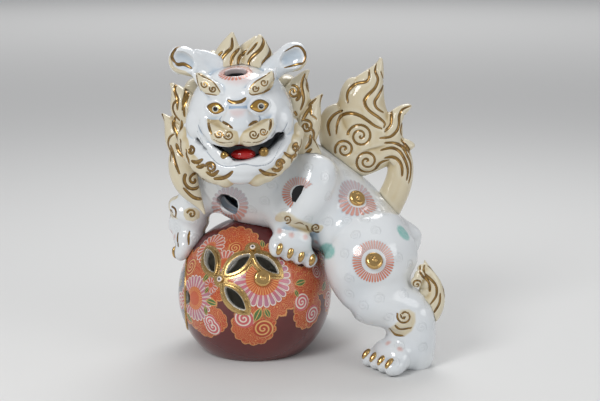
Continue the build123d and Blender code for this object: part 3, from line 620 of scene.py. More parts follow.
rim_gold = gilt("rim_gold", (0.52, 0.35, 0.14, 1), 0.24)
rims = trim_piece("ball_rims", ["ball_leaf_rims"], rim_gold, grain=0.0006, passes=2)
LEAF_MIDDLES = ((-40.6, 34.5), (-12.5, 34.5), (-12.5, 9.5), (12.5, 34.5))
CUT_LEAN = 0.45
CUT_INWARD = 0.006
leaf_middles = np.array([on_ball(azimuth + side, elevation)[0] for side in PAINTED_SIDES
                         for azimuth, elevation in LEAF_MIDDLES])
rim_out = points_of(rims) - np.array(BALL_CENTRE)
rim_out /= np.linalg.norm(rim_out, axis=1)[:, None]
to_leaf = leaf_middles[(rim_out @ leaf_middles.T).argmax(axis=1)] - rim_out
rim_facing = normals_of(rims)
rim_lean = rim_facing - rim_out * (rim_facing * rim_out).sum(axis=1)[:, None]
cut_edge = (np.linalg.norm(rim_lean, axis=1) > CUT_LEAN) & ((rim_lean * to_leaf).sum(axis=1) > CUT_INWARD)
keep_value(rims, "bare", np.where(cut_edge, 1.0, 0.0))
tree = rim_gold.node_tree
shader = tree.nodes["Principled BSDF"]
bare_edge = soft_step(tree, attribute(tree, "bare"), 0.3, 0.7)
colour = over(tree, bare_edge, shader.inputs["Base Color"].links[0].from_socket, BARE_CLAY)
tree.links.new(colour, shader.inputs["Base Color"])
tree.links.new(sum_of(tree, "SUBTRACT", 1.0, bare_edge), shader.inputs["Metallic"])
trim_piece("ball_flower_boss", ["ball_boss"], bright_gold, grain=0.0006, passes=6)

stud_enamel_and_hole_shade, tree, shader = glazed("stud_enamel_and_hole_shade", 0.15)
from_axis = attribute(tree, "from_axis")
STUD_HOLE_SHADE = (0.06, 0.06, 0.065, 1)
# Painted shade: the dark grey centre of each stud stands for the shade inside its piercing.
colour = over(tree, soft_step(tree, from_axis, 0.36, 0.44), STUD_HOLE_SHADE, SLIP_WHITE)
on_rim = soft_step(tree, frayed(tree, from_axis, 300, 0.1), 0.78, 0.86)
colour = over(tree, on_rim, colour, BALL_GOLD)
tree.links.new(colour, shader.inputs["Base Color"])
tree.links.new(on_rim, shader.inputs["Metallic"])
studs = trim_piece("ball_studs", ["ball_hub_studs"], stud_enamel_and_hole_shade, grain=0.0004, passes=3)
HUBS = ((-25, 22), (0, 47))
STUD_RADIUS = 3.2 * MM
FAR_AXIS = 1.0
stud_axis = np.full(len(studs.data.vertices), FAR_AXIS)
for side in PAINTED_SIDES:
    for azimuth, elevation in HUBS:
        out = np.array(on_ball(azimuth + side, elevation)[0])
        offset = points_of(studs) - np.array(BALL_CENTRE)
        beside = np.linalg.norm(offset - np.outer(offset @ out, out), axis=1)
        stud_axis = np.minimum(stud_axis, np.where(offset @ out > 0, beside, FAR_AXIS))
keep_value(studs, "from_axis", stud_axis / STUD_RADIUS)

RING_TURNS = (-90, 127)
RING_RADIUS = 37.2 * MM
RING_THICKNESS = 1.1 * MM
RING_OUT = 65.2 * MM
rings = []
for azimuth in RING_TURNS:
    out = on_ball(azimuth, 0)[0]
    bpy.ops.mesh.primitive_torus_add(
        major_segments=160, minor_segments=12, major_radius=RING_RADIUS, minor_radius=RING_THICKNESS
    )
    ring = bpy.context.object
    ring.rotation_euler = out.to_track_quat("Z", "Y").to_euler()
    ring.location = BALL_CENTRE + out * RING_OUT
    bpy.ops.object.transform_apply(location=True, rotation=True, scale=True)
    rings.append(ring)
panel_rings = join_all(rings)
panel_rings.name = "ball_panel_rings"
bpy.ops.object.shade_smooth()
panel_rings.data.materials.append(bright_gold)
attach(panel_rings, "root")

# The body and legs. Barrel, forelegs, hind legs and paws are cast apart, luted together and sponged into
# one skin, under a thick bluish-white glaze that pools in the hollows, with painted flowers and small slip
# curls. The cuffs at the wrists and the shin curls are part of that skin, washed cream and lined with gold.


def around(piece):
    """The two ends of each edge of a piece, and how many edges meet at each point."""
    edges = np.empty(len(piece.data.edges) * 2, dtype=np.int64)
    piece.data.edges.foreach_get("vertices", edges)
    first, second = edges.reshape(-1, 2).T
    count = len(piece.data.vertices)
    met = np.bincount(first, minlength=count) + np.bincount(second, minlength=count)
    return first, second, np.maximum(met, 1)


def averaged(rows, first, second, count):
    """Each row replaced by the mean of its neighbours' rows."""
    total = np.empty_like(rows)
    for axis in range(rows.shape[1]):
        total[:, axis] = np.bincount(first, rows[second, axis], len(rows))
        total[:, axis] += np.bincount(second, rows[first, axis], len(rows))
    return total / count[:, None]


def smooth_rise(values, low, high):
    share = np.clip((values - low) / (high - low), 0, 1)
    return share * share * (3 - 2 * share)


def relax(piece, share, rounds):
    """Smooths a skin by a share of each step, from 0 where it stays as it is to 1."""
    neighbours = around(piece)
    places = points_of(piece)
    for _ in range(rounds):
        places += (averaged(places, *neighbours) - places) * share[:, None]
    piece.data.vertices.foreach_set("co", places.ravel())
    piece.data.update()


def pool_glaze(piece, rounds):
    """Stores how hollow each place is in mm, from how far the smoothed skin stands off it."""
    neighbours = around(piece)
    places = points_of(piece)
    smooth = places.copy()
    for _ in range(rounds):
        smooth = averaged(smooth, *neighbours)
    keep_value(piece, "hollow", ((smooth - places) * normals_of(piece)).sum(axis=1) / MM)


def middle(solid):
    low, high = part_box(solid)
    return (low + high) / 2


def sight(looking, across, up):
    """A line of sight through a pixel of the photograph, or square to one side through a place in mm."""
    if looking == "photo":
        ray = Vector((across - PHOTO_WIDTH / 2, PHOTO_HEIGHT / 2 - up, -FOCAL_PIXELS))
        ray.rotate(Euler((CAMERA_PITCH, 0, 0)))
        return Vector(CAMERA_PLACE), ray.normalized()
    across *= MM
    up *= MM
    return {
        "front": (Vector((across, -1, up)), Vector((0, 1, 0))),
        "back": (Vector((across, 1, up)), Vector((0, -1, 0))),
        "left": (Vector((1, across, up)), Vector((-1, 0, 0))),
        "right": (Vector((-1, across, up)), Vector((1, 0, 0))),
        "top": (Vector((across, up, 1)), Vector((0, 0, -1))),
    }[looking]


PLAIN = (0, 0, 0)
SEAT_SHARE = 0.4
STEEP = 0.95


def seat(piece, point, reach, kind=PLAIN):
    """A motif on the skin at a point: its middle, two directions along the skin, its reach and its make."""
    distance = np.linalg.norm(points_of(piece) - np.array(point), axis=1)
    close = distance < max(SEAT_SHARE * reach, distance.min() + 2 * MM)
    out = Vector(normals_of(piece)[close].mean(axis=0)).normalized()
    across = Vector((0, 0, 1)).cross(out).normalized() if abs(out.z) < STEEP else Vector((1, 0, 0))
    return Vector(point), across, out.cross(across), reach, kind


def seat_near(piece, place, reach, kind=PLAIN):
    """A motif at the skin's nearest point to a place in mm."""
    return seat(piece, skin_tree(piece).find_nearest(Vector(place) * MM)[0], reach, kind)


def seat_seen(piece, pixel, reach):
    """A plain motif on the skin at a pixel of the photograph."""
    return seat(piece, skin_tree(piece).ray_cast(*sight("photo", *pixel))[0], reach)


BRUSH_STEPS = 14
TIP_SHARE = 0.35


def brush(points, half_width):
    """A brush line through points seen from one side: places, and half widths in metres that taper."""
    ends = [points[0]] + list(points) + [points[-1]]
    rows = []
    for corners in zip(ends, ends[1:], ends[2:], ends[3:]):
        before, here, after, later = (np.array(point, dtype=float) for point in corners)
        for step in range(BRUSH_STEPS):
            share = step / BRUSH_STEPS
            bend = (2 * before - 5 * here + 4 * after - later) * share**2
            sway = (3 * here - before - 3 * after + later) * share**3
            rows.append(0.5 * (2 * here + (after - before) * share + bend + sway))
    rows.append(np.array(points[-1], dtype=float))
    swell = np.sin(np.pi * np.linspace(0, 1, len(rows))) ** 0.6
    widths = half_width * MM * (TIP_SHARE + (1 - TIP_SHARE) * swell)
    return [(row[0], row[1], width) for row, width in zip(rows, widths)]


def brush_lines(lines, half_width):
    return [brush(points, half_width) for points in lines]


CURL_STEPS = 72


def curl(centre, reach, start, turns, half_width):
    """A spiral brush line from its rim, at an angle in degrees, to its middle; turns below 0 wind back."""
    rows = []
    for step in range(CURL_STEPS + 1):
        share = step / CURL_STEPS
        angle = math.radians(start) + 2 * math.pi * turns * share
        radius = reach * (1 - share) ** 0.8
        width = half_width * MM * (1 - TIP_SHARE * share)
        rows.append((centre[0] + radius * math.cos(angle), centre[1] + radius * math.sin(angle), width))
    return rows


def curl_lines(rows, half_width):
    return [curl(*row, half_width) for row in rows]


def lay_on(piece, lines, looking, slack):
    """Brush lines set down on a skin seen from one side, less the points past it by the slack in metres."""
    tree = skin_tree(piece)
    rows = []
    for line in lines:
        hits = [(tree.ray_cast(*sight(looking, across, up)), width) for across, up, width in line]
        hits = [(hit[0], hit[3], width) for hit, width in hits if hit[0] is not None]
        if hits:
            typical = np.median([reach for _, reach, _ in hits])
            rows += [(*place, width) for place, reach, width in hits if reach - typical < slack]
    return rows


def kept_value(piece, name):
    """A stored value of each point, or 0 where none is stored."""
    values = np.zeros(len(piece.data.vertices), dtype=np.float32)
    if name in piece.data.attributes:
        piece.data.attributes[name].data.foreach_get("value", values)
    return values.astype(float)


GROOVE_LIP = 1.6


def press_in(piece, rows, depth, mark="gilding"):
    """Presses brush rows into a skin by a depth in mm and stores their mark: 1 at the edge, 2 within."""
    tree = KDTree(len(rows))
    for index, row in enumerate(rows):
        tree.insert(row[:3], index)
    tree.balance()
    places = points_of(piece)
    paint = kept_value(piece, mark) if mark else np.zeros(len(places))
    sink = np.zeros(len(places))
    table = np.array(rows)
    widest = 2 * table[:, 3].max()
    low = table[:, :3].min(axis=0) - widest
    high = table[:, :3].max(axis=0) + widest
    for index in np.flatnonzero(((places > low) & (places < high)).all(axis=1)):
        _, nearest, distance = tree.find(places[index])
        share = distance / rows[nearest][3]
        if share < 2:
            paint[index] = max(paint[index], 2 - share)
        if share < GROOVE_LIP:
            sink[index] = depth * MM * (1 - (share / GROOVE_LIP) ** 2) ** 2
    if depth:
        places -= normals_of(piece) * sink[:, None]
        piece.data.vertices.foreach_set("co", places.ravel())
        piece.data.update()
    if mark:
        keep_value(piece, mark, paint)


def draw(piece, lines, depth, mark="gilding", looking="photo", slack=1.0):
    """Presses brush lines into a skin as seen from one side; a depth below 0 raises them."""
    press_in(piece, lay_on(piece, lines, looking, slack), depth, mark)


def new_piece(name, corners, faces):
    """A piece from its points and faces, turned to face outward and taken up."""
    mesh = bpy.data.meshes.new(name)
    mesh.from_pydata(corners, [], faces)
    piece = bpy.data.objects.new(name, mesh)
    bpy.context.scene.collection.objects.link(piece)
    take_up(piece)
    bpy.ops.object.mode_set(mode="EDIT")
    bpy.ops.mesh.select_all(action="SELECT")
    bpy.ops.mesh.normals_make_consistent(inside=False)
    bpy.ops.object.mode_set(mode="OBJECT")
    return piece


DRILL_LEAD = 5 * MM
DRILL_SPAN = 20 * MM


def drill(piece, outline, depth):
    """Cuts a blind hole, from an outline in pixels and a depth in mm, and returns its floor's reach."""
    tree = skin_tree(piece)
    rays = [sight("photo", *pixel) for pixel in outline]
    near = [tree.ray_cast(*ray)[3] for ray in rays]
    start = min(near) - DRILL_LEAD
    end = max(reach for reach in near if reach < min(near) + DRILL_SPAN) + depth * MM
    corners = [place + ray * reach for reach in (start, end) for place, ray in rays]
    count = len(rays)
    sides = [tuple(range(count)), tuple(range(2 * count - 1, count - 1, -1))]
    for side in range(count):
        after = (side + 1) % count
        sides.append((side, side + count, after + count, after))
    tool = new_piece("drill", corners, sides)
    take_up(piece)
    cut = piece.modifiers.new("drilled", "BOOLEAN")
    cut.operation = "DIFFERENCE"
    cut.object = tool
    bpy.ops.object.modifier_apply(modifier="drilled")
    mesh = tool.data
    bpy.data.objects.remove(tool)
    bpy.data.meshes.remove(mesh)
    return end


def pixels_of(piece):
    """Each point's column and row in the photograph, and how squarely its skin faces the camera."""
    sightline = points_of(piece) - np.array(CAMERA_PLACE)
    facing = -(normals_of(piece) * sightline).sum(axis=1) / np.linalg.norm(sightline, axis=1)
    turned = sightline @ np.array(Euler((CAMERA_PITCH, 0, 0)).to_matrix())
    scale = -FOCAL_PIXELS / turned[:, 2]
    return PHOTO_WIDTH / 2 + turned[:, 0] * scale, PHOTO_HEIGHT / 2 - turned[:, 1] * scale, facing


SIGHT_SLACK = 2.5 * MM


def in_sight(piece, chosen):
    """Which of the chosen points nothing of the piece hides from the camera."""
    tree = skin_tree(piece)
    camera_place = Vector(CAMERA_PLACE)
    places = points_of(piece)
    clear = np.zeros(len(places), dtype=bool)
    for index in np.flatnonzero(chosen):
        ray = Vector(places[index]) - camera_place
        clear[index] = tree.ray_cast(camera_place, ray.normalized(), ray.length - SIGHT_SLACK)[0] is None
    return clear


def wash(piece, outlines, soft, mark="cream", strength=2.0):
    """Stores a wash inside outlines in pixels: 1 on the outline, and up to its strength inside."""
    column, row, facing = pixels_of(piece)
    paint = kept_value(piece, mark)
    for outline in outlines:
        corners = np.array(outline, dtype=float)
        low = corners.min(axis=0) - 2 * soft
        high = corners.max(axis=0) + 2 * soft
        near = (facing > 0) & (column > low[0]) & (column < high[0]) & (row > low[1]) & (row < high[1])
        near &= in_sight(piece, near)
        apart = np.full(near.sum(), np.inf)
        inside = np.zeros(near.sum(), dtype=bool)
        here = np.stack((column[near], row[near]), axis=1)
        for start, end in zip(corners, np.roll(corners, -1, axis=0)):
            along = np.clip(((here - start) @ (end - start)) / ((end - start) @ (end - start)), 0, 1)
            apart = np.minimum(apart, np.linalg.norm(here - start - along[:, None] * (end - start), axis=1))
            crosses = (start[1] > here[:, 1]) != (end[1] > here[:, 1])
            fall = end[1] - start[1] if end[1] != start[1] else 1.0
            inside ^= crosses & (here[:, 0] < (end[0] - start[0]) * (here[:, 1] - start[1]) / fall + start[0])
        share = np.clip(1 + np.where(inside, apart, -apart) / soft, 0, strength)
        paint[near] = np.maximum(paint[near], share)
    keep_value(piece, mark, paint)


FULL_SHARE = 0.35


def near_pixels(piece, spots):
    """A share from 1 at some pixels to 0 at their reach, on the skin that faces the camera."""
    column, row, facing = pixels_of(piece)
    share = np.zeros(len(column))
    for across, down, reach in spots:
        apart = np.hypot(column - across, row - down) / reach
        share = np.maximum(share, 1 - smooth_rise(apart, FULL_SHARE, 1.0))
    return share * smooth_rise(facing, -0.1, 0.15)


MOTIF_MARGIN = 1.2
EDGE_ON = -0.05


def lay_seen(piece, name, motifs):
    """Lays motifs out as the photograph shows them: pixel, reach both ways, bearings in degrees and make."""
    column, row, facing = pixels_of(piece)
    count = len(column)
    local = np.zeros(count * 3, dtype=np.float32)
    make = np.zeros(count * 3, dtype=np.float32)
    piece.data.attributes[name].data.foreach_get("vector", local)
    piece.data.attributes[name + "_make"].data.foreach_get("vector", make)
    local = local.reshape(-1, 3)
    make = make.reshape(-1, 3)
    for (across, down), (wide, high), (first, last), kind in motifs:
        east = (column - across) / wide
        north = (down - row) / high
        apart = np.hypot(east, north)
        bearing = np.degrees(np.arctan2(north, east)) % 360
        here = (apart < MOTIF_MARGIN) & (facing > EDGE_ON) & (bearing >= first) & (bearing <= last)
        here &= in_sight(piece, here)
        local[here] = np.stack((east, north, 2 - apart), axis=1)[here]
        make[here] = kind
    keep_place(piece, name, local)
    keep_place(piece, name + "_make", make)


def add_clay(piece, pellets):
    """Presses pellets of clay onto a piece before it is sponged, from their middles and radii."""
    added = []
    for place, radius in pellets:
        bpy.ops.mesh.primitive_ico_sphere_add(subdivisions=3, radius=radius, location=place)
        added.append(bpy.context.object)
    join_all([piece] + added)


COIL_STEPS = 4


def coil_seen(piece, rows):
    """Pellets along a line of pixels: column, row, radius in mm, row to take the depth at, and sink in mm."""
    tree = skin_tree(piece)
    pellets = []
    for before, after in zip(rows, rows[1:]):
        for step in range(COIL_STEPS + 1):
            across, down, radius, depth_row, sink = (
                first + (last - first) * step / COIL_STEPS for first, last in zip(before, after)
            )
            place, ray = sight("photo", across, down)
            reach = tree.ray_cast(*sight("photo", across, depth_row))[3]
            if reach is not None:
                pellets.append((place + ray * (reach + sink * MM), radius * MM))
    return pellets


BODY_SOLIDS = (
    "torso_shell",
    "left_foreleg",
    "right_foreleg",
    "left_forepaw",
    "right_forepaw",
    "left_wrist_tuft",
    "right_wrist_tuft",
    "left_hind_leg",
    "right_hind_leg",
    "left_hind_paw",
    "right_hind_paw",
    "left_shin_curl",
    "right_shin_curl",
)
PAW_AZIMUTH = 43
PAW_ELEVATION = 46
PAW_TURN = math.radians(-32)
paw_axis = on_ball(PAW_AZIMUTH, PAW_ELEVATION)[0]
to_ball = Matrix.Translation(BALL_CENTRE)
turn_paw = to_ball @ Matrix.Rotation(PAW_TURN, 4, paw_axis) @ to_ball.inverted()
paw_moves = {"left_forepaw": turn_paw, "left_fore_claws": turn_paw}
body = cast("lion_body", BODY_SOLIDS, paw_moves)
RUMP_COIL = ((389, 252, 26.5, 252, 30), (390, 255, 26.5, 255, 30))
add_clay(body, coil_seen(body, RUMP_COIL))
sponge(body, grain=0.00162, passes=4)
thin_inside(body)
BOSSES = ("left_flank_boss", "right_flank_boss", "left_thigh_boss", "right_thigh_boss")
SEAM_REACH = 16 * MM
CUFF_REACH = 6 * MM
to_trunk = gaps_to(body, ["torso_shell"], SEAM_REACH)
to_thighs = gaps_to(body, ["left_hind_leg", "right_hind_leg"], SEAM_REACH)
to_arms = gaps_to(body, ["left_foreleg", "right_foreleg"], SEAM_REACH)
to_tufts = gaps_to(body, ["left_wrist_tuft", "right_wrist_tuft"], CUFF_REACH)
to_shin_curls = gaps_to(body, ["left_shin_curl", "right_shin_curl"], CUFF_REACH)
at_hip = 1 - smooth_rise(np.maximum(to_trunk, to_thighs), 4 * MM, SEAM_REACH)
at_hip *= smooth_rise(gaps_to(body, BOSSES, SEAM_REACH), 3 * MM, 12 * MM)
at_shoulder = 1 - smooth_rise(np.maximum(to_trunk, to_arms), 2 * MM, 9 * MM)
at_cuff = 1 - smooth_rise(to_tufts, 1 * MM, 5 * MM)
at_curl = 1 - smooth_rise(to_shin_curls, 0, 4 * MM)
relax(body, 0.9 * at_hip, rounds=130)
relax(body, 0.8 * np.maximum(at_shoulder, at_cuff), rounds=26)
relax(body, 0.6 * at_curl, rounds=14)
TOES = ("right_fore_claws", "left_hind_claws", "right_hind_claws")
off_toes = smooth_rise(gaps_to(body, TOES, SEAM_REACH), 7 * MM, 15 * MM)
off_toes *= smooth_rise(gaps_to(body, ["left_forepaw"], 8 * MM), 2 * MM, 7 * MM)
pool_glaze(body, rounds=20)
CREASE_SPREAD = 7
CREASE_FADE = 0.97
at_crease = smooth_rise(kept_value(body, "hollow"), 0.06, 0.35)
neighbours = around(body)
for _ in range(CREASE_SPREAD):
    at_crease = np.maximum(at_crease, averaged(at_crease[:, None], *neighbours)[:, 0] * CREASE_FADE)
relax(body, 0.9 * at_crease * off_toes, rounds=220)
RUMP_SEAMS = ((406, 232, 16), (410, 246, 16), (408, 262, 14))
relax(body, 0.9 * near_pixels(body, RUMP_SEAMS), rounds=160)

BACK_FLOWER = (2, 62, 168)
body_flowers = [  # then petals, share of the heart, and warmth of the petals
    seat(body, middle("left_flank_boss"), 21 * MM, (27, 0.47, 0.35)),
    seat(body, middle("right_flank_boss"), 21 * MM, (27, 0.47, 0.35)),
    seat(body, middle("left_thigh_boss"), 20 * MM, (44, 0.56, 1.0)),
    seat(body, middle("right_thigh_boss"), 20 * MM, (32, 0.56, 1.0)),
    seat_near(body, BACK_FLOWER, 17 * MM, (20, 0.36, 0.7)),
]
CHEST_HOLE = (
    (220.4, 200.2), (222.6, 196.7), (227.3, 195.7), (233.2, 197.3), (237.3, 200.8), (238.2, 206.1),
    (237.3, 212), (235.6, 214.6), (230.8, 212.6), (224.9, 208.5), (221.4, 204.9),
)
SHOULDER_HOLE = (
    (292, 201.4), (291.6, 194), (293, 189.5), (296.2, 186.3), (300, 185.3), (304.3, 185.6), (301.5, 193),
    (295.6, 202.2),
)
drill(body, CHEST_HOLE, depth=9)
hole_floor = drill(body, SHOULDER_HOLE, depth=12)

lay_out(body, "flower", body_flowers)
CHEST_FLOWER = (229.9, 205.2)
SHOULDER_FLOWER = (298.4, 193.3)
ALL_ROUND = (0, 360)
lay_seen(body, "flower", [
    (CHEST_FLOWER, (18.8, 18.8), ALL_ROUND, (24, 0.5, 0.12)),
    (SHOULDER_FLOWER, (17.2, 17.2), (30, 245), (34, 0.48, 0.85)),
])
BELLY_SPOT = (327, 251)
RUMP_SPOT = (403.5, 232.5)
FAR_SPOTS = ((148, 52, 126), (70, 95, 130))
SPOT_REACH = 9 * MM
spots = [seat_seen(body, RUMP_SPOT, SPOT_REACH)]
spots += [seat_near(body, place, SPOT_REACH) for place in FAR_SPOTS]
lay_out(body, "spot", spots)
lay_seen(body, "spot", [(BELLY_SPOT, (8.8, 8.8), ALL_ROUND, PLAIN)])

KNUCKLES_SEEN = ((279.5, 231), (291.5, 235), (305.5, 237), (316, 242), (388, 343), (400, 349))
FAR_KNUCKLES = (
    (-80, -6, 112), (-80, 5, 114), (-80, 16, 114), (-78, 26, 112), (18, 90, 28), (20, 101, 30), (24, 112, 30),
)
KNUCKLE_REACH = 3.2 * MM
knuckles = [seat_seen(body, pixel, KNUCKLE_REACH) for pixel in KNUCKLES_SEEN]
knuckles += [seat_near(body, place, KNUCKLE_REACH) for place in FAR_KNUCKLES]
lay_out(body, "rose", knuckles)

CUFF_BAND = (((277, 219), (285, 217), (294, 222), (304, 226), (313, 229), (321, 227)),)
FAR_CUFF = (
    (184, 210), (189, 207.5), (196, 208), (200, 212), (199.5, 218), (193, 221.5), (186, 220), (183.5, 215),
)
CUFF_CURLS = (
    ((287, 219.5), 4.2, 100, -1.4, 0.9),
    ((316, 228), 4.8, 60, 1.5, 1.0),
    ((191.5, 214), 4.5, 200, 1.3, 1.1),
)
CUFF_STROKES = (((295, 224), (300, 223), (304, 225)), ((306, 225), (309, 231)))
draw(body, brush_lines(CUFF_BAND, half_width=6.5), depth=-0.9, mark="cream")
wash(body, [FAR_CUFF], soft=1.6)
draw(body, [curl(*row) for row in CUFF_CURLS] + brush_lines(CUFF_STROKES, half_width=1.0), depth=0.7)
SHIN_WASH = (
    (388.5, 329), (394, 335.5), (404, 336.5), (411.5, 331), (415.5, 322), (415, 313), (409, 309.5),
    (401, 310), (398, 315), (398.5, 321), (394, 325),
)
SHIN_CURL = ((404.5, 316.5), 7.5, 200, -1.6)
SHIN_STROKES = (((394.5, 325), (400, 329.5), (411, 328)), ((389, 328), (395, 334.5), (404, 336)))
FAR_SHIN_CURL = ((38, 50), 7.5, 200, -1.6)
FAR_SHIN_STROKES = (((30, 42), (36, 36), (44, 36)), ((26, 38), (32, 31), (42, 30)))
wash(body, [SHIN_WASH], soft=5.0)
shin_lines = curl_lines([SHIN_CURL], half_width=1.1) + brush_lines(SHIN_STROKES, half_width=1.3)
draw(body, shin_lines, depth=0.9)
far_shin_lines = brush_lines(FAR_SHIN_STROKES, half_width=1.2) + curl_lines([FAR_SHIN_CURL], half_width=1.1)
draw(body, far_shin_lines, depth=0.9, looking="back")
SIDE_CUFF_CURLS = [(centre, 6, 90, 1.4) for centre in ((-6, 136), (9, 133), (24, 137))]
draw(body, curl_lines(SIDE_CUFF_CURLS, half_width=1.1), depth=0.7, looking="right")

CURL_CREAM = 3 * MM
CUFF_CREAM = 3.5 * MM
on_curl = np.maximum(2 - gaps_to(body, ["right_shin_curl"], 2 * CURL_CREAM) / CURL_CREAM, 0)
unseen = 1 - smooth_rise(pixels_of(body)[2], 0.3, 0.6)
on_cuff = np.maximum(2 - gaps_to(body, ["right_wrist_tuft"], 8 * MM) / CUFF_CREAM, 0) * unseen
keep_value(body, "cream", np.maximum(kept_value(body, "cream"), np.maximum(on_curl, on_cuff)))
TOE_LINES = (((177.7, 232), (176.8, 239), (178, 247)), ((189.8, 231), (188.6, 237), (189.2, 245)))
draw(body, brush_lines(TOE_LINES, half_width=1.4), depth=1.6)
pool_glaze(body, rounds=24)
# Painted shade: the floor of the blind hole drilled at the shoulder is painted black, for the dark hollow of
# the torso seen through the piercing.
HOLE_RADIUS = 11 * MM
seen_from = points_of(body) - np.array(CAMERA_PLACE)
seen_at = np.linalg.norm(seen_from, axis=1)
hole_ray = np.array(sight("photo", *SHOULDER_FLOWER)[1])
shaded_hole_floor = np.linalg.norm(np.cross(seen_from, hole_ray), axis=1) < HOLE_RADIUS
shaded_hole_floor &= (seen_at > hole_floor - 2 * MM) & (seen_at < hole_floor + 3 * MM)
keep_value(body, "painted_shade", np.where(shaded_hole_floor, 2.0, 0.0))

SLIP_SPACE = 16 * MM
SLIP_REACH = 5.5 * MM
SLIP_TRIES = 5000
FLOWER_SPACE = 25 * MM
dice = np.random.default_rng(7)
places = points_of(body)
painted = skin_tree(body)
taken = [np.array(motif[0]) for motif in body_flowers + spots]
for pixel in (CHEST_FLOWER, SHOULDER_FLOWER, BELLY_SPOT):
    place = painted.ray_cast(*sight("photo", *pixel))[0]
    if place is not None:
        taken.append(np.array(place))
flower_count = len(taken)
slip_curls = []
for index in dice.permutation(len(places))[:SLIP_TRIES]:
    apart = np.linalg.norm(np.array(taken) - places[index], axis=1)
    if apart[:flower_count].min() > FLOWER_SPACE and apart.min() > SLIP_SPACE:
        taken.append(places[index])
        slip_curls.append(seat(body, places[index], SLIP_REACH))
lay_out(body, "slip", slip_curls)

cream_wash, wash_in, wash_out = shader_group(
    "cream_wash", (("Hollow", "NodeSocketFloat"),), (("Colour", "NodeSocketColor"),)
)
CREAM = (0.60, 0.49, 0.29, 1)
CREAM_PALE = (0.68, 0.61, 0.45, 1)
CREAM_DEEP = (0.40, 0.29, 0.13, 1)
colour = over(cream_wash, soft_step(cream_wash, wash_in.outputs["Hollow"], -0.35, 0.1), CREAM_PALE, CREAM)
colour = over(cream_wash, soft_step(cream_wash, wash_in.outputs["Hollow"], 0.05, 0.6), colour, CREAM_DEEP)
colour = over(cream_wash, times(cream_wash, cloud(cream_wash, 30), 0.4), colour, CREAM_PALE)
cream_wash.links.new(colour, wash_out.inputs["Colour"])

gilt_line, line_in, line_out = shader_group(
    "gilt_line",
    (("Mark", "NodeSocketFloat"), ("Below", "NodeSocketColor")),
    (("Colour", "NodeSocketColor"), ("Metal", "NodeSocketFloat"), ("Rough", "NodeSocketFloat")),
)
LINE_BROWN = (0.11, 0.055, 0.018, 1)
LINE_GOLD = (0.33, 0.195, 0.055, 1)
LINE_THIN = (0.22, 0.12, 0.035, 1)
brown = soft_step(gilt_line, line_in.outputs["Mark"], 0.95, 1.07)
golden = soft_step(gilt_line, line_in.outputs["Mark"], 1.12, 1.36)
worn = soft_step(gilt_line, cloud(gilt_line, 110, 3.0), 0.45, 0.7)
colour = over(gilt_line, brown, line_in.outputs["Below"], LINE_BROWN)
colour = over(gilt_line, golden, colour, over(gilt_line, worn, LINE_GOLD, LINE_THIN))
gilt_line.links.new(colour, line_out.inputs["Colour"])
gilt_line.links.new(times(gilt_line, golden, 0.9), line_out.inputs["Metal"])
gilt_line.links.new(sum_of(gilt_line, "ADD", times(gilt_line, golden, 0.16), 0.12), line_out.inputs["Rough"])


def gild(tree, shader, below):
    """Lines of brown gold over a colour, fed to the shader."""
    gilded = place_group(tree, gilt_line, Mark=attribute(tree, "gilding"), Below=below)
    tree.links.new(gilded["Colour"], shader.inputs["Base Color"])
    tree.links.new(gilded["Metal"], shader.inputs["Metallic"])
    tree.links.new(gilded["Rough"], shader.inputs["Roughness"])


white_glaze, tree, shader = glazed("white_glaze", 0.1)
GLAZE_WHITE = (0.75, 0.775, 0.79, 1)
GLAZE_BLUE = (0.42, 0.51, 0.60, 1)
PETAL_PALE = (0.60, 0.33, 0.29, 1)
PETAL_GREY = (0.40, 0.33, 0.40, 1)
PETAL_ORANGE = (0.62, 0.17, 0.085, 1)
TURQUOISE = (0.15, 0.46, 0.41, 1)
KNUCKLE_ROSE = (0.66, 0.30, 0.24, 1)
INK_AND_SHADE_GREY = (0.20, 0.24, 0.30, 1)
PALE_BLUE = (0.20, 0.34, 0.52, 1)
SHADE_BLACK = (0.008, 0.007, 0.008, 1)
hollow = attribute(tree, "hollow")
colour = over(tree, soft_step(tree, hollow, 0.02, 0.9), GLAZE_WHITE, GLAZE_BLUE)
colour = over(tree, times(tree, soft_step(tree, cloud(tree, 18), 0.45, 0.75), 0.22), colour, GLAZE_BLUE)
flower_place = attribute(tree, "flower", "Vector")
petals, hearts, warmth = split(tree, attribute(tree, "flower_make", "Vector"))
flowers = place_group(tree, petal_ring, Place=flower_place, Petals=petals, Heart=hearts)
lit_side = soft_step(tree, split(tree, flower_place)[1], 0.55, -0.25)
cool_petal = over(tree, lit_side, PETAL_GREY, PETAL_PALE)
petal_tint = over(tree, warmth, cool_petal, PETAL_ORANGE)
petal_share = sum_of(tree, "ADD", times(tree, lit_side, 0.3), 0.62)
petal_edge = times(tree, flowers["Outline"], sum_of(tree, "SUBTRACT", 0.45, times(tree, warmth, 0.45)))
colour = over(tree, petal_edge, colour, PETAL_GREY)
colour = over(tree, times(tree, flowers["Fill"], petal_share), colour, petal_tint)
spot_close = split(tree, attribute(tree, "spot", "Vector"))[2]
spot = soft_step(tree, frayed(tree, spot_close, 260, 0.3), 1.05, 1.45)
spot_tint = times(tree, spot, sum_of(tree, "ADD", times(tree, cloud(tree, 330), 0.5), 0.5))
colour = over(tree, spot_tint, colour, TURQUOISE)
rose_close = split(tree, attribute(tree, "rose", "Vector"))[2]
rose = soft_step(tree, frayed(tree, rose_close, 420, 0.5), 0.9, 2.0)
colour = over(tree, times(tree, rose, 0.62), colour, KNUCKLE_ROSE)
blush = soft_step(tree, attribute(tree, "blush"), 0.0, 2.0)
colour = over(tree, times(tree, blush, 0.4), colour, KNUCKLE_ROSE)
cream_here = soft_step(tree, attribute(tree, "cream"), 0.7, 1.3)
cream_colour = place_group(tree, cream_wash, Hollow=hollow)["Colour"]
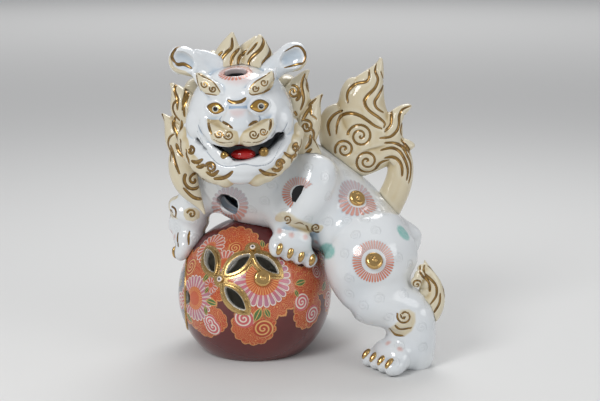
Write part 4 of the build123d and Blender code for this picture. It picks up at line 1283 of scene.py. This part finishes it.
colour = over(tree, cream_here, colour, cream_colour)
# Grey lines: painted shade in the creases round the mouth and nose, and small grey marks at the ends of the
# nose's blue bar.
ink_and_shade = soft_step(tree, attribute(tree, "ink_and_shade"), 0.9, 1.5)
colour = over(tree, times(tree, ink_and_shade, 0.75), colour, INK_AND_SHADE_GREY)
blue_bar = times(tree, soft_step(tree, attribute(tree, "blue"), 0.8, 1.6), 0.7)
colour = over(tree, blue_bar, colour, PALE_BLUE)
# Painted shade: black inside the mouth and on the floor of the shoulder hole.
colour = over(tree, soft_step(tree, attribute(tree, "painted_shade"), 0.7, 1.3), colour, SHADE_BLACK)
gild(tree, shader, colour)
slip = place_group(tree, scroll_line, Place=attribute(tree, "slip", "Vector"), Turns=1.5)
slip_height = times(tree, slip["Line"], 1.2)
raise_by(tree, shader, sum_of(tree, "ADD", slip_height, flowers["Outline"]), ENAMEL_HEIGHT)
body.data.materials.append(white_glaze)
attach(body, "root")
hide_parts(*BODY_SOLIDS)
trim_piece("flower_bosses", BOSSES, bright_gold, grain=0.0006, passes=6)
CLAWS = ("left_fore_claws", "right_fore_claws", "left_hind_claws", "right_hind_claws")
trim_piece("lion_claws", CLAWS, bright_gold, grain=0.0005, passes=4, moves=paw_moves)

# The tail plume. One flat casting of flames on a curled stem, with strands and three curls pressed in while
# damp, washed cream over the glaze and lined in the grooves with brown gold.
TAIL_STRANDS = (
    ((117, 279), (116, 272), (119, 264), (116, 256), (108, 248), (106, 242), (110, 235), (121, 227),
     (126, 222), (125, 218)),
    ((122, 271), (125, 262), (124, 256), (120, 249), (116, 243), (118, 237), (125, 232)),
    ((126, 247), (127, 243), (131, 237), (132, 228), (131, 220), (126, 214)),
    ((110, 273), (110, 266), (107, 262), (98, 260), (91, 254), (89, 248), (90, 242)),
    ((85, 234), (77, 230), (72, 224), (71, 218), (73, 210)),
    ((79, 212), (80, 221), (84, 229), (92, 232), (101, 230), (109, 225), (116, 220), (123, 217)),
    ((151, 238), (143, 235), (140, 229), (140, 221), (138, 215), (131, 209), (121, 208)),
    ((146, 230), (144, 223), (142, 215), (143, 209)),
    ((126, 203), (134, 203), (143, 199), (148, 191), (152, 182), (152, 171), (150, 163)),
    ((122, 196), (132, 198), (140, 195), (146, 186), (149, 176), (148, 166)),
    ((126, 188), (134, 189), (140, 185), (143, 178), (143, 170)),
    ((110, 173), (117, 176), (122, 183), (130, 186)),
    ((142, 206), (148, 198), (152, 189)),
)
TAIL_CURLS = (((102, 210), 12, 170, -1.9), ((87, 197), 9.5, 200, -1.7), ((109, 185), 11.5, 280, -1.8))
tail = cast("lion_tail", ["tail_plume"])
sponge(tail, grain=0.0009, passes=5)
tail_lines = brush_lines(TAIL_STRANDS, half_width=1.75) + curl_lines(TAIL_CURLS, half_width=1.35)
for side in ("front", "back"):
    draw(tail, tail_lines, depth=1.4, looking=side)
pool_glaze(tail, rounds=16)

cream_glaze, tree, shader = glazed("cream_glaze", 0.16)
gild(tree, shader, place_group(tree, cream_wash, Hollow=attribute(tree, "hollow"))["Colour"])
tail.data.materials.append(cream_glaze)
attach(tail, "root")
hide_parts("tail_plume")

# The head. Skull, muzzle, nose, ears, brows, moustache, beard and lower jaw luted and sponged into one skin;
# the inside of the mouth is painted black as painted shade, the hair is washed cream, and its curls, the
# nostrils and ear rims are lined in gold.
HEAD_SOLIDS = (
    "head_shell",
    "lower_jaw",
    "nose",
    "left_ear",
    "right_ear",
    "left_brow",
    "right_brow",
    "left_moustache",
    "right_moustache",
    "left_beard",
    "right_beard",
)
brow_moves = {
    "right_brow": Matrix.Translation(Vector((-5.5, 1.5, 1.8)) * MM),
    "left_brow": Matrix.Translation(Vector((0.5, 0, 3.0)) * MM),
}
head = cast("lion_head", HEAD_SOLIDS, brow_moves)
LIP_COIL = (
    (199.5, 135.6, 2.6, 147, 2.0), (205, 142.2, 3.2, 152, 1.5), (211.6, 148.6, 3.6, 157, 1.5),
    (217.4, 153.4, 3.8, 161, 1.5), (223.2, 157.2, 3.8, 164, 1.5), (229, 161, 3.4, 166, 1.5),
)
EAR_COIL = (
    (196, 52.5, 3.4, 55, 1.0), (205.3, 54.8, 4.4, 60, 0), (213.7, 58.8, 5.4, 65, 0), (218, 63, 6.0, 69, 0),
)
EAR_FILL = (
    (201, 57.5, 4.6, 57.5, 2.5), (207, 61, 5.2, 61, 2.5), (213, 65, 5.4, 65, 2.5), (219, 69, 5.4, 69, 3),
)
NOSE_FILL = ((223.4, 108, 4.4, 103.5, 3.0), (222.6, 112, 4.4, 103.5, 2.6), (222, 116, 4.0, 103.5, 2.2))
NOSE_FILL_LEFT = ((252.6, 107, 4.4, 102, 3.0), (253.4, 111, 4.4, 102, 2.6), (254.4, 115, 4.0, 102, 2.2))
PHILTRUM = ((-10.2, -97, 221.5), (-10.1, -97.5, 224), (-10.0, -97, 227))
PHILTRUM_RADIUS = 5.4 * MM
BROW_FILL = (
    (17, -75, 275), (12, -78, 271), (15, -72, 270), (-43, -75, 273), (-38, -78, 269), (-41, -72, 268),
)
BROW_FILL_RADIUS = 6.5 * MM
clay = []
for coil in (LIP_COIL, EAR_COIL, EAR_FILL, NOSE_FILL, NOSE_FILL_LEFT):
    clay += coil_seen(head, coil)
for fill, radius in ((PHILTRUM, PHILTRUM_RADIUS), (BROW_FILL, BROW_FILL_RADIUS)):
    clay += [(Vector(place) * MM, radius) for place in fill]
add_clay(head, clay)
sponge(head, grain=0.00095, passes=4)
thin_inside(head)
BEARD_CREAM = 2.2 * MM
to_beard = gaps_to(head, ["left_beard", "right_beard"], 6 * MM)
relax(head, 0.7 * (1 - smooth_rise(to_beard, 1 * MM, 4 * MM)), rounds=16)
FACE_SEAMS = (
    (215.5, 108.2, 15), (259.5, 106, 16), (237, 101, 17), (237.5, 139, 9), (222, 119, 8), (254, 118, 8),
    (200, 122, 12), (281, 119, 12), (205, 57, 12), (214, 63, 12), (201, 138, 8), (278, 134, 8),
    (210, 152, 9), (218, 158, 9),
)
relax(head, 0.85 * near_pixels(head, FACE_SEAMS), rounds=60)
keep_value(head, "cream", np.maximum(2 - to_beard / BEARD_CREAM, 0))

EYES_SEEN = (((215.5, 108.2), 8.8, 5.9, -13, 0.38), ((259.5, 105.8), 9.5, 6.6, 11, 0.38))


def almond(eye, share, turn):
    """A pixel on an almond outline, from its middle, half width, half height, tilt in degrees and point."""
    (across, down), wide, high, tilt, point = eye
    east = wide * share * math.cos(turn)
    north = high * share * math.sin(turn) * (1 - point * math.cos(turn) ** 2)
    lean = math.radians(tilt)
    return (across + east * math.cos(lean) - north * math.sin(lean),
            down - east * math.sin(lean) - north * math.cos(lean))


LID_SHARE = 1.12
lids = [[almond(eye, LID_SHARE, math.radians(step)) for step in range(0, 361, 20)] for eye in EYES_SEEN]
draw(head, brush_lines(lids, half_width=1.3), depth=-1.0, mark=None)
BROW_WASH = (
    ((195.8, 72.4), (201.6, 72.9), (209.5, 78.2), (216.8, 84), (220.5, 90.3), (219, 95), (214.7, 95.7),
     (206.3, 94), (200, 90.3), (197.4, 84), (195.8, 77.6)),
    ((248.4, 89.2), (252.6, 84), (261, 77.6), (267.4, 72.9), (272.1, 70.3), (274.2, 77.6), (273.7, 85),
     (269.5, 90.3), (263.2, 94), (254.7, 95.7), (249.5, 94)),
)
PAD_WASH = (
    ((206.8, 118.7), (212.6, 119.7), (219, 119.7), (223.2, 122.9), (231.6, 129.2), (237.5, 131.5),
     (239.5, 140), (237.5, 147), (227.4, 147), (219, 145), (211.6, 140), (208.4, 131.3)),
    ((243.2, 131.3), (249.5, 127), (257.9, 121.3), (265.3, 118.7), (273.2, 118.2), (274.2, 124),
     (271.6, 131.3), (266.3, 138.7), (257.9, 145), (249.5, 147), (239.5, 147), (239.5, 138)),
)
EAR_WASH = (
    ((170.5, 56), (171.5, 66), (178, 71.5), (187.5, 74.5), (194, 79)),
    ((307.5, 60), (301, 68), (290, 74), (284, 80)),
)
wash(head, BROW_WASH, soft=1.2)
wash(head, PAD_WASH, soft=2.2)
draw(head, brush_lines(EAR_WASH, half_width=2.6), depth=0, mark="cream")
BROW_EDGES = (
    ((196.8, 72.9), (205.3, 77.6), (213.7, 82.4), (220.5, 92.4)),
    ((196.3, 73.4), (197.9, 83.9), (202.1, 92.4), (210.5, 94.5), (217.4, 95.5)),
    ((272.1, 70.8), (263.7, 76.6), (255.3, 81.8), (248.9, 89.2)),
    ((273.2, 71.3), (274.2, 79.7), (271.6, 87.1), (263.2, 92.4), (252.6, 95), (248.9, 92.4)),
)
BROW_CURLS = (
    ((204.7, 84.2), 3.8, 200, -1.4),
    ((213, 89), 3.6, 200, -1.4),
    ((255.3, 88.6), 3.6, 340, 1.4),
    ((264, 82.6), 4, 340, 1.4),
)
PAD_CURLS = (
    ((218.9, 134), 4.2, 180, -1.6),
    ((228.6, 135), 5, 180, -1.7),
    ((253.7, 134.3), 5, 0, 1.7),
    ((263.5, 131.6), 4.2, 0, 1.6),
)
PAD_STROKES = (((208.4, 120.8), (209, 127), (211.6, 134.5)), ((270.5, 118.7), (271, 124), (269.5, 130.3)))
PAD_EDGES = (((213, 139.5), (222, 143), (235, 142)), ((243, 142), (257, 142.5), (268, 137.5)))
NOSTRILS = (((221.6, 121.3), (227, 124.5), (232.6, 128.7)), ((257.9, 120.8), (253.5, 122.5), (248.9, 126.1)))
ORNAMENT = (((227.9, 100.2), (232, 102.2), (237, 102.6), (242, 101.2), (245.8, 98)),)
EAR_LINES = (
    ((175.8, 62.9), (172.1, 56.6), (175.8, 48), (182.6, 45.5), (190.5, 47.6)),
    ((175.8, 62.9), (178.4, 64.5), (184.2, 64.2), (191.6, 68.2)),
    ((285.3, 51.5), (295.8, 46.2), (301.6, 48.3), (305.4, 55.5), (303.4, 62.7), (296.8, 64.2), (284.7, 67.6)),
)
BEARD_CURLS = (
    ((190.5, 150.5), 4, 270, 1.3),
    ((210.5, 167.6), 5.4, 200, 1.6),
    ((296.8, 147.6), 4, 270, -1.3),
    ((280, 163.9), 4.4, 340, -1.5),
)
BEARD_STROKES = (
    ((191, 160.8), (196.8, 162.4), (202.6, 159.2)),
    ((196.3, 167.1), (201, 166.6), (204.2, 164.5)),
    ((206.3, 172.4), (212.6, 175), (218.4, 170.8)),
    ((211.6, 179.2), (222.1, 178.2), (228.4, 175.5), (232.6, 171.3)),
    ((284.2, 152.4), (290.5, 156.6), (297.9, 155), (300, 149.2)),
    ((272.1, 168.7), (277.9, 170.8), (283.2, 167.1)),
    ((259.5, 169.7), (266.3, 173.9), (276.8, 175)),
)
BEARD_SIDE = (
    ((-54, 222), (-58, 214), (-55, 207)),
    ((-63, 216), (-67, 207), (-63, 199)),
    ((-72, 208), (-76, 199), (-72, 191)),
)
LINE_SLACK = 6 * MM
fine_lines = brush_lines(BROW_EDGES, half_width=0.85) + brush_lines(PAD_EDGES, half_width=0.6)
fine_lines += curl_lines(BROW_CURLS + PAD_CURLS, half_width=0.8)
draw(head, fine_lines, depth=0.55, slack=LINE_SLACK)
bold_lines = brush_lines(PAD_STROKES, half_width=1.4) + brush_lines(EAR_LINES, half_width=1.8)
bold_lines += brush_lines(BEARD_STROKES, half_width=2.0) + curl_lines(BEARD_CURLS, half_width=1.55)
draw(head, bold_lines, depth=0.9, slack=LINE_SLACK)
for side in ("left", "right"):
    draw(head, brush_lines(BEARD_SIDE, half_width=1.5), depth=0.9, looking=side, slack=LINE_SLACK)
draw(head, brush_lines(ORNAMENT, half_width=2.1), depth=-1.0)
draw(head, brush_lines(NOSTRILS, half_width=1.4), depth=1.5)
# Grey lines pressed along the lower lip and into the creases by the cheeks and nostrils: painted shade in
# those creases.
INK_AND_SHADE_LINES = (
    ((196.8, 130.3), (201, 140), (207, 152), (219, 164.5), (231, 166.5), (244, 164), (258, 166),
     (271.6, 161.8), (280, 146), (290.5, 126)),
    ((198, 124.5), (200.5, 131), (206, 137.5)),
    ((288, 122), (284, 130), (277, 137)),
    ((221.6, 116.5), (219.5, 119.5), (221.5, 122)),
    ((259, 115.5), (260.5, 119), (258, 121.5)),
)
BLUE_BAR = (
    (228.4, 105.4), (231, 105.6), (237.5, 106), (244.5, 105.4), (247.4, 105), (247.6, 109), (244.5, 108.8),
    (237.5, 108.6), (231, 109.2), (228.4, 109.6),
)
BLUE_BAR_ENDS = (((229, 107.6), (230.5, 107.4)), ((245.4, 107), (247, 107)))
NOSE_BLUSH = ((230, 110.5), (237.5, 109.5), (245, 110), (243, 115), (237, 117), (231.5, 115.5))
CROWN_BLUSH = (
    (222, 71), (228, 66), (237, 64.5), (247, 65), (253, 70), (251, 78), (246, 82.5), (237, 84), (228, 82),
    (223, 78),
)
draw(head, brush_lines(INK_AND_SHADE_LINES, half_width=0.8), depth=0.5, mark="ink_and_shade")
wash(head, [BLUE_BAR], soft=0.9, mark="blue")
draw(head, brush_lines(BLUE_BAR_ENDS, half_width=1.5), depth=0, mark="ink_and_shade")
wash(head, [NOSE_BLUSH], soft=4.0, mark="blush", strength=1.5)
wash(head, [CROWN_BLUSH], soft=5.0, mark="blush", strength=1.4)
CROWN_HOLE = Vector((-13.8, -62, 274)) * MM
HEAD_CENTRE = Vector((-10.5, -38, 235.9)) * MM
crown_out = (CROWN_HOLE - HEAD_CENTRE).normalized()
crown_across = Vector((0, 0, 1)).cross(crown_out).normalized()
lay_out(head, "flower", [(CROWN_HOLE, crown_across, crown_out.cross(crown_across), 16 * MM, (26, 0.64, 1.0))])
pool_glaze(head, rounds=24)

HEAD_ROLL = math.radians(2)
offset = (points_of(head) - np.array(HEAD_CENTRE)) / MM
facing = normals_of(head)
right = math.cos(HEAD_ROLL) * offset[:, 0] + math.sin(HEAD_ROLL) * offset[:, 2]
up = math.cos(HEAD_ROLL) * offset[:, 2] - math.sin(HEAD_ROLL) * offset[:, 0]
back = offset[:, 1]
MOUTH_HALF_WIDTH = 42
UPPER_LIP = (-22, 11)
LOWER_LIP = (-35, 24)
LIP_ACROSS = (0, 24, 40, 47)
LIP_FRONT = (-63, -55, -38, -19)
LIP_BAND = 2.4
UPPER_LIP_INSET = 2
LOWER_LIP_INSET = 9
CORNER_BACK = -12
SKULL_WIDE, SKULL_HIGH, SKULL_DEEP = 45, 42, 46
SKULL_DROP = 1
JAW_TOP = -10
JAW_WALL = 0.95
SKULL_WALL = 0.74
FACING_IN = -3
SHADE_SPREAD = 5
mouth_share = (right / MOUTH_HALF_WIDTH) ** 2
from_upper = np.abs(up - (UPPER_LIP[0] + UPPER_LIP[1] * mouth_share))
from_lower = np.abs(up - (LOWER_LIP[0] + LOWER_LIP[1] * mouth_share))
lip_front = np.interp(np.abs(right), LIP_ACROSS, LIP_FRONT)
skull_share = (right / SKULL_WIDE) ** 2 + ((up + SKULL_DROP) / SKULL_HIGH) ** 2 + (back / SKULL_DEEP) ** 2
in_skull = skull_share < np.where(up < JAW_TOP, JAW_WALL, SKULL_WALL)
inner_wall = in_skull & ((facing * offset).sum(axis=1) < FACING_IN)
between_lips = (np.abs(right) < MOUTH_HALF_WIDTH) & (back < CORNER_BACK)
under_lip = between_lips & (from_upper < LIP_BAND) & (back > lip_front + UPPER_LIP_INSET)
under_lip &= facing[:, 2] < -0.25
behind_lip = between_lips & (from_lower < LIP_BAND) & (back > lip_front + LOWER_LIP_INSET)
behind_lip &= facing[:, 2] > 0.2
# Painted shade: the inner walls of the hollow head seen through the mouth, the underside of the upper lip and
# the back of the lower lip are painted black.
painted_shade = np.where(inner_wall | under_lip | behind_lip, 2.0, 0.0)
neighbours = around(head)
for _ in range(SHADE_SPREAD):
    painted_shade = averaged(painted_shade[:, None], *neighbours)[:, 0]
keep_value(head, "painted_shade", painted_shade)
head.data.materials.append(white_glaze)
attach(head, "root")
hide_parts(*HEAD_SOLIDS)

# The mane, crest and hock tufts. Pressed locks luted on in rows, washed cream over the glaze and lined in the
# grooves with brown gold, like the tail.
CREST_STRANDS = (
    ((-18, 306), (-18, 298), (-23, 293), (-27, 288), (-28, 281)),
    ((-27, 294), (-31, 289), (-33, 281)),
    ((-11, 296), (-17, 290), (-19, 281)),
    ((-5, 294), (-11, 288), (-12, 281)),
    ((10, 306), (11, 302), (8, 296), (0, 289), (-3, 284), (-2, 281)),
    ((13, 303), (17, 295), (16, 290), (11, 284), (10, 281)),
    ((5, 302), (0, 296), (-5, 291)),
)
MANE_RIGHT_STRANDS = (
    ((-71, 263), (-73, 257), (-70, 249), (-70, 239)),
    ((-64, 263), (-62, 255), (-64, 245), (-63, 233)),
    ((-58, 257), (-62, 247), (-65, 239)),
    ((-72, 232), (-74, 226), (-71, 218), (-68, 210)),
    ((-66, 229), (-66, 221), (-67, 214), (-66, 206)),
    ((-77, 206), (-75, 200), (-72, 190), (-68, 180)),
    ((-71, 208), (-69, 202), (-64, 196)),
    ((-65, 167), (-56, 158), (-46, 155)),
)
MANE_LEFT_STRANDS = (
    ((49, 272), (46, 262), (48, 249), (45, 239)),
    ((55, 274), (51, 263), (53, 255)),
    ((59, 249), (54, 243), (55, 234)),
    ((55, 243), (50, 236), (46, 229)),
    ((54, 216), (54, 210), (49, 204)),
    ((55, 204), (51, 200), (48, 190)),
    ((55, 196), (53, 190), (45, 184)),
    ((40, 178), (44, 187), (51, 192), (52, 197)),
    ((68, 195), (77, 185), (78, 176), (73, 170)),
)


STRAND_DEPTH = 1.1


def cream_piece(name, solids, lines, grain, passes=4, clay=()):
    """A cream piece from CAD solids, with brush lines pressed in from the sides that they are given for."""
    piece = cast(name, solids)
    if clay:
        add_clay(piece, clay)
    sponge(piece, grain, passes)
    rows = []
    for looking, strokes in lines.items():
        rows += lay_on(piece, strokes, looking, slack=1.0)
    press_in(piece, rows, STRAND_DEPTH)
    pool_glaze(piece, rounds=14)
    piece.data.materials.append(cream_glaze)
    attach(piece, "root")
    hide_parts(*solids)
    return piece


def repeated(places, lines, half_width):
    """Brush lines drawn again at each of some places across."""
    return [
        brush([(place + aside, up) for aside, up in points], half_width)
        for place in places
        for points in lines
    ]


CREST_SIDE = (
    ((-34, 282), (-30, 274), (-33, 265)),
    ((-22, 284), (-19, 274), (-22, 264)),
    ((-12, 280), (-9, 272), (-12, 264)),
)
crest_lines = brush_lines(CREST_STRANDS, half_width=2.0)
crest_side = brush_lines(CREST_SIDE, half_width=1.6)
crest_sides = {"front": crest_lines, "back": crest_lines, "right": crest_side}
cream_piece("lion_crest", ["crest"], crest_sides, grain=0.0009)

MANE_RIGHT_CURL = ((-54, 174), 10, 150, 1.6)
MANE_LEFT_CURLS = [(centre, 6, 100, -1.5) for centre in ((38, 256), (50, 224), (67, 188))]
RIGHT_SIDE_STRANDS = (
    ((-35, 252), (-30, 241), (-34, 229)),
    ((-22, 250), (-20, 239), (-24, 227)),
    ((-36, 217), (-32, 204), (-36, 191)),
    ((-24, 219), (-22, 206), (-26, 193)),
    ((-30, 182), (-28, 169), (-31, 155)),
)
LEFT_SIDE_STRANDS = (
    ((-38, 270), (-34, 256), (-37, 242), (-33, 230)),
    ((-26, 268), (-22, 253), (-25, 240)),
    ((-38, 224), (-34, 214), (-36, 203)),
    ((-24, 224), (-20, 213), (-22, 202)),
)
right_lines = brush_lines(MANE_RIGHT_STRANDS, half_width=1.9) + curl_lines([MANE_RIGHT_CURL], half_width=1.8)
left_lines = brush_lines(MANE_LEFT_STRANDS, half_width=1.9) + curl_lines(MANE_LEFT_CURLS, half_width=1.4)
right_side = brush_lines(RIGHT_SIDE_STRANDS, half_width=1.7)
left_side = brush_lines(LEFT_SIDE_STRANDS, half_width=1.7)
right_sides = {"front": right_lines, "back": right_lines, "right": right_side}
left_sides = {"front": left_lines, "back": left_lines, "left": left_side}
cream_piece("mane_right", ["mane_right_locks"], right_sides, grain=0.001)
cream_piece("mane_left", ["mane_left_locks"], left_sides, grain=0.001)

RUFF_PLACES = (-46, -26, -6, 14, 34)
RUFF_STRANDS = (((-9, 214), (-10, 204), (-7, 192)), ((7, 222), (9, 208), (5, 196)))
RUFF_CURLS = [((place, 202), 6.5, 90, 1.5) for place in RUFF_PLACES]
RUFF_SIDE = (
    ((-30, 252), (-24, 240), (-26, 226), (-22, 214)),
    ((-16, 250), (-10, 238), (-12, 224), (-8, 210)),
    ((-2, 246), (4, 234), (2, 220), (6, 206)),
    ((12, 240), (18, 228), (16, 214), (20, 202)),
)
RUFF_SIDE_CURLS = (((-18, 200), 6.5, 90, 1.5), ((8, 192), 6.5, 90, 1.5))
ruff_lines = curl_lines(RUFF_CURLS, half_width=1.4) + repeated(RUFF_PLACES, RUFF_STRANDS, half_width=1.5)
side_lines = brush_lines(RUFF_SIDE, half_width=1.5) + curl_lines(RUFF_SIDE_CURLS, half_width=1.4)
ruff_sides = {"front": right_lines + left_lines, "back": ruff_lines, "left": side_lines, "right": side_lines}
cream_piece("mane_ruff_skin", ["mane_ruff"], ruff_sides, grain=0.0012)

BACK_LOCKS = (-52, -31, -10, 11, 32)
BACK_STRANDS = (
    ((-4, 272), (-5, 260), (-3, 247), (0, 232)),
    ((3, 274), (4, 263), (5, 252), (2, 240)),
    ((0, 258), (1, 250), (-1, 242)),
)
TOP_STRANDS = (((-4, -8), (-5, 12), (-3, 33), (-1, 52)), ((4, -4), (5, 15), (3, 30)))
OUTER_LOCK = (((-4, 266), (15, 260), (35, 247), (52, 232)), ((2, 256), (20, 250), (38, 238), (54, 227)))
back_lines = repeated(BACK_LOCKS, BACK_STRANDS, half_width=1.5)
top_lines = repeated(BACK_LOCKS, TOP_STRANDS, half_width=1.5)
outer_lines = brush_lines(OUTER_LOCK, half_width=1.5)
back_sides = {"back": back_lines, "top": top_lines, "left": outer_lines, "right": outer_lines}
cream_piece("mane_back", ["mane_back_locks"], back_sides, grain=0.0011)

HOCK_STRANDS = (
    ((156, 100), (156, 92), (164, 82), (165, 73)),
    ((160, 98), (160, 91), (170, 80), (171, 70), (165, 61)),
    ((175, 72), (174, 62), (167, 51)),
)
HOCK_CURL = ((152, 82), 5, 0, 1.4)
FAR_HOCK = (((68, 80), (67, 70), (70, 58), (74, 48)), ((74, 78), (76, 66), (78, 54)))
SIDE_HOCK = (((-62, 97), (-59, 85), (-62, 71), (-58, 57)), ((-55, 88), (-54, 76), (-57, 62)))
HOCK_CLAY = (
    (421.5, 268.5, -61, 4.2), (419.6, 275.4, -67, 5.2), (416.6, 282, -70, 5.4), (424.6, 274, -61, 5.8),
    (424.6, 283, -62, 6.2), (424.6, 291, -62, 5.8), (428.5, 297.5, -61, 5.8), (428.5, 279, -60, 5.8),
)


def pellet_seen(across, down, depth, radius):
    """A pellet in a pixel's line of sight, at a depth along Y and of a radius in mm."""
    place, ray = sight("photo", across, down)
    return place + ray * ((depth * MM - place.y) / ray.y), radius * MM


hock_sides = {
    "front": brush_lines(HOCK_STRANDS, half_width=1.4) + curl_lines([HOCK_CURL], half_width=1.1),
    "back": brush_lines(FAR_HOCK, half_width=1.3),
    "left": brush_lines(SIDE_HOCK, half_width=1.3),
}
hock_clay = [pellet_seen(*row) for row in HOCK_CLAY]
HOCKS = ("left_hock_tuft", "right_hock_tuft")
cream_piece("hock_tufts", HOCKS, hock_sides, grain=0.001, passes=3, clay=hock_clay)

# Eyes, pupils, fangs and tongue. Gilt eyes with black enamel pupils in pale rings, gilt ball fangs at the
# mouth's corners and a red-enamelled tongue, all luted in before glazing.
BLISTER_SAMPLES = (0.3, 0.7, 1.0)
BLISTER_BACK = (0.92, 0.9)
BLISTER_SINK = 0.25
BLISTER_SLACK = 4 * MM


def blisters(name, carrier, shapes, rise, solid):
    """Low almond domes on a skin, as the photograph shows them, storing the share of the way to the edge."""
    tree = skin_tree(carrier)
    rings, sectors = 12, 56
    corners, faces, shares = [], [], []
    for shape in shapes:
        first = len(corners)
        samples = []
        for ring in BLISTER_SAMPLES:
            for sector in range(0, sectors, 4):
                across, down = almond(shape, ring, 2 * math.pi * sector / sectors)
                reach = tree.ray_cast(*sight("photo", across, down))[3]
                if reach is not None:
                    samples.append((1.0, across, down, reach))
        table = np.array(samples)
        table = table[np.abs(table[:, 3] - np.median(table[:, 3])) < BLISTER_SLACK]
        plane = np.linalg.lstsq(table[:, :3], table[:, 3], rcond=None)[0]
        rows = [(ring / rings, -(1 - (ring / rings) ** 2) ** 0.7) for ring in range(1, rings + 1)]
        outline = [(share, lift, almond(shape, share, 2 * math.pi * sector / sectors))
                   for share, lift in rows + [BLISTER_BACK] for sector in range(sectors)]
        middles = [(0.0, lift, shape[0]) for lift in (-1.0, BLISTER_BACK[1])]
        for share, lift, pixel in outline + middles:
            place, ray = sight("photo", *pixel)
            reach = plane @ (1.0, *pixel)
            corners.append(place + ray * (reach + (rise * lift - BLISTER_SINK * rise) * MM))
            shares.append(share)
        front, rear = len(corners) - 2, len(corners) - 1
        for sector in range(sectors):
            after = (sector + 1) % sectors
            faces.append((front, first + sector, first + after))
            faces.append((rear, first + rings * sectors + after, first + rings * sectors + sector))
            for ring in range(rings):
                inner = first + ring * sectors
                outer = inner + sectors
                faces.append((inner + sector, outer + sector, outer + after, inner + after))
    piece = new_piece(name, corners, faces)
    bpy.ops.object.shade_smooth()
    keep_value(piece, "share", shares)
    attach(piece, "root")
    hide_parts(solid)
    return piece


eyes = blisters("lion_eyes", head, EYES_SEEN, rise=2.6, solid="eyes")
eye_gold = gilt("eye_gold", (0.62, 0.37, 0.10, 1), 0.18)
tree = eye_gold.node_tree
shader = tree.nodes["Principled BSDF"]
EYE_RIM = (0.10, 0.045, 0.012, 1)
rim_share = times(tree, soft_step(tree, attribute(tree, "share"), 0.78, 1.0), 0.9)
colour = over(tree, rim_share, shader.inputs["Base Color"].links[0].from_socket, EYE_RIM)
tree.links.new(colour, shader.inputs["Base Color"])
eyes.data.materials.append(eye_gold)
PUPILS_SEEN = (((215.3, 109), 3.3, 3.3, 0, 0.0), ((261.2, 106.4), 3.5, 3.5, 0, 0.0))
pupils = blisters("lion_pupils", eyes, PUPILS_SEEN, rise=0.8, solid="pupils")
pupil_enamel, tree, shader = glazed("pupil_enamel", 0.08)
PUPIL_BLACK = (0.006, 0.006, 0.008, 1)
PUPIL_RING = (0.62, 0.60, 0.50, 1)
ring_share = soft_step(tree, frayed(tree, attribute(tree, "share"), 500, 0.06), 0.68, 0.76)
tree.links.new(over(tree, ring_share, PUPIL_BLACK, PUPIL_RING), shader.inputs["Base Color"])
pupils.data.materials.append(pupil_enamel)

FANGS_SEEN = ((224.6, 155.4, 3.9, 162, 2.0), (263.6, 151.6, 4.6, 158, 2.0))
fang_balls = []
for row in FANGS_SEEN:
    place, radius = coil_seen(head, (row, row))[0]
    bpy.ops.mesh.primitive_uv_sphere_add(segments=48, ring_count=32, radius=radius, location=place)
    bpy.ops.object.transform_apply(location=True, rotation=True, scale=True)
    fang_balls.append(bpy.context.object)
fangs = join_all(fang_balls)
fangs.name = "lion_fangs"
bpy.ops.object.shade_smooth()
fangs.data.materials.append(dark_gold)
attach(fangs, "root")
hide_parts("fangs")

red_enamel, tree, shader = glazed("red_enamel", 0.14)
TONGUE_REDS = ((0.55, 0.012, 0.008, 1), (0.42, 0.01, 0.01, 1))
tree.links.new(over(tree, cloud(tree, 120), *TONGUE_REDS), shader.inputs["Base Color"])
TONGUE_MOVE = Matrix.Translation(Vector((2.0, -0.5, -1.0)) * MM)
TONGUE_SCALE = Matrix.Diagonal((0.9, 1, 0.78, 1))
to_tongue = Matrix.Translation(middle("tongue"))
flatten = {"tongue": TONGUE_MOVE @ to_tongue @ TONGUE_SCALE @ to_tongue.inverted()}
trim_piece("lion_tongue", ["tongue"], red_enamel, grain=0.0006, passes=5, moves=flatten)
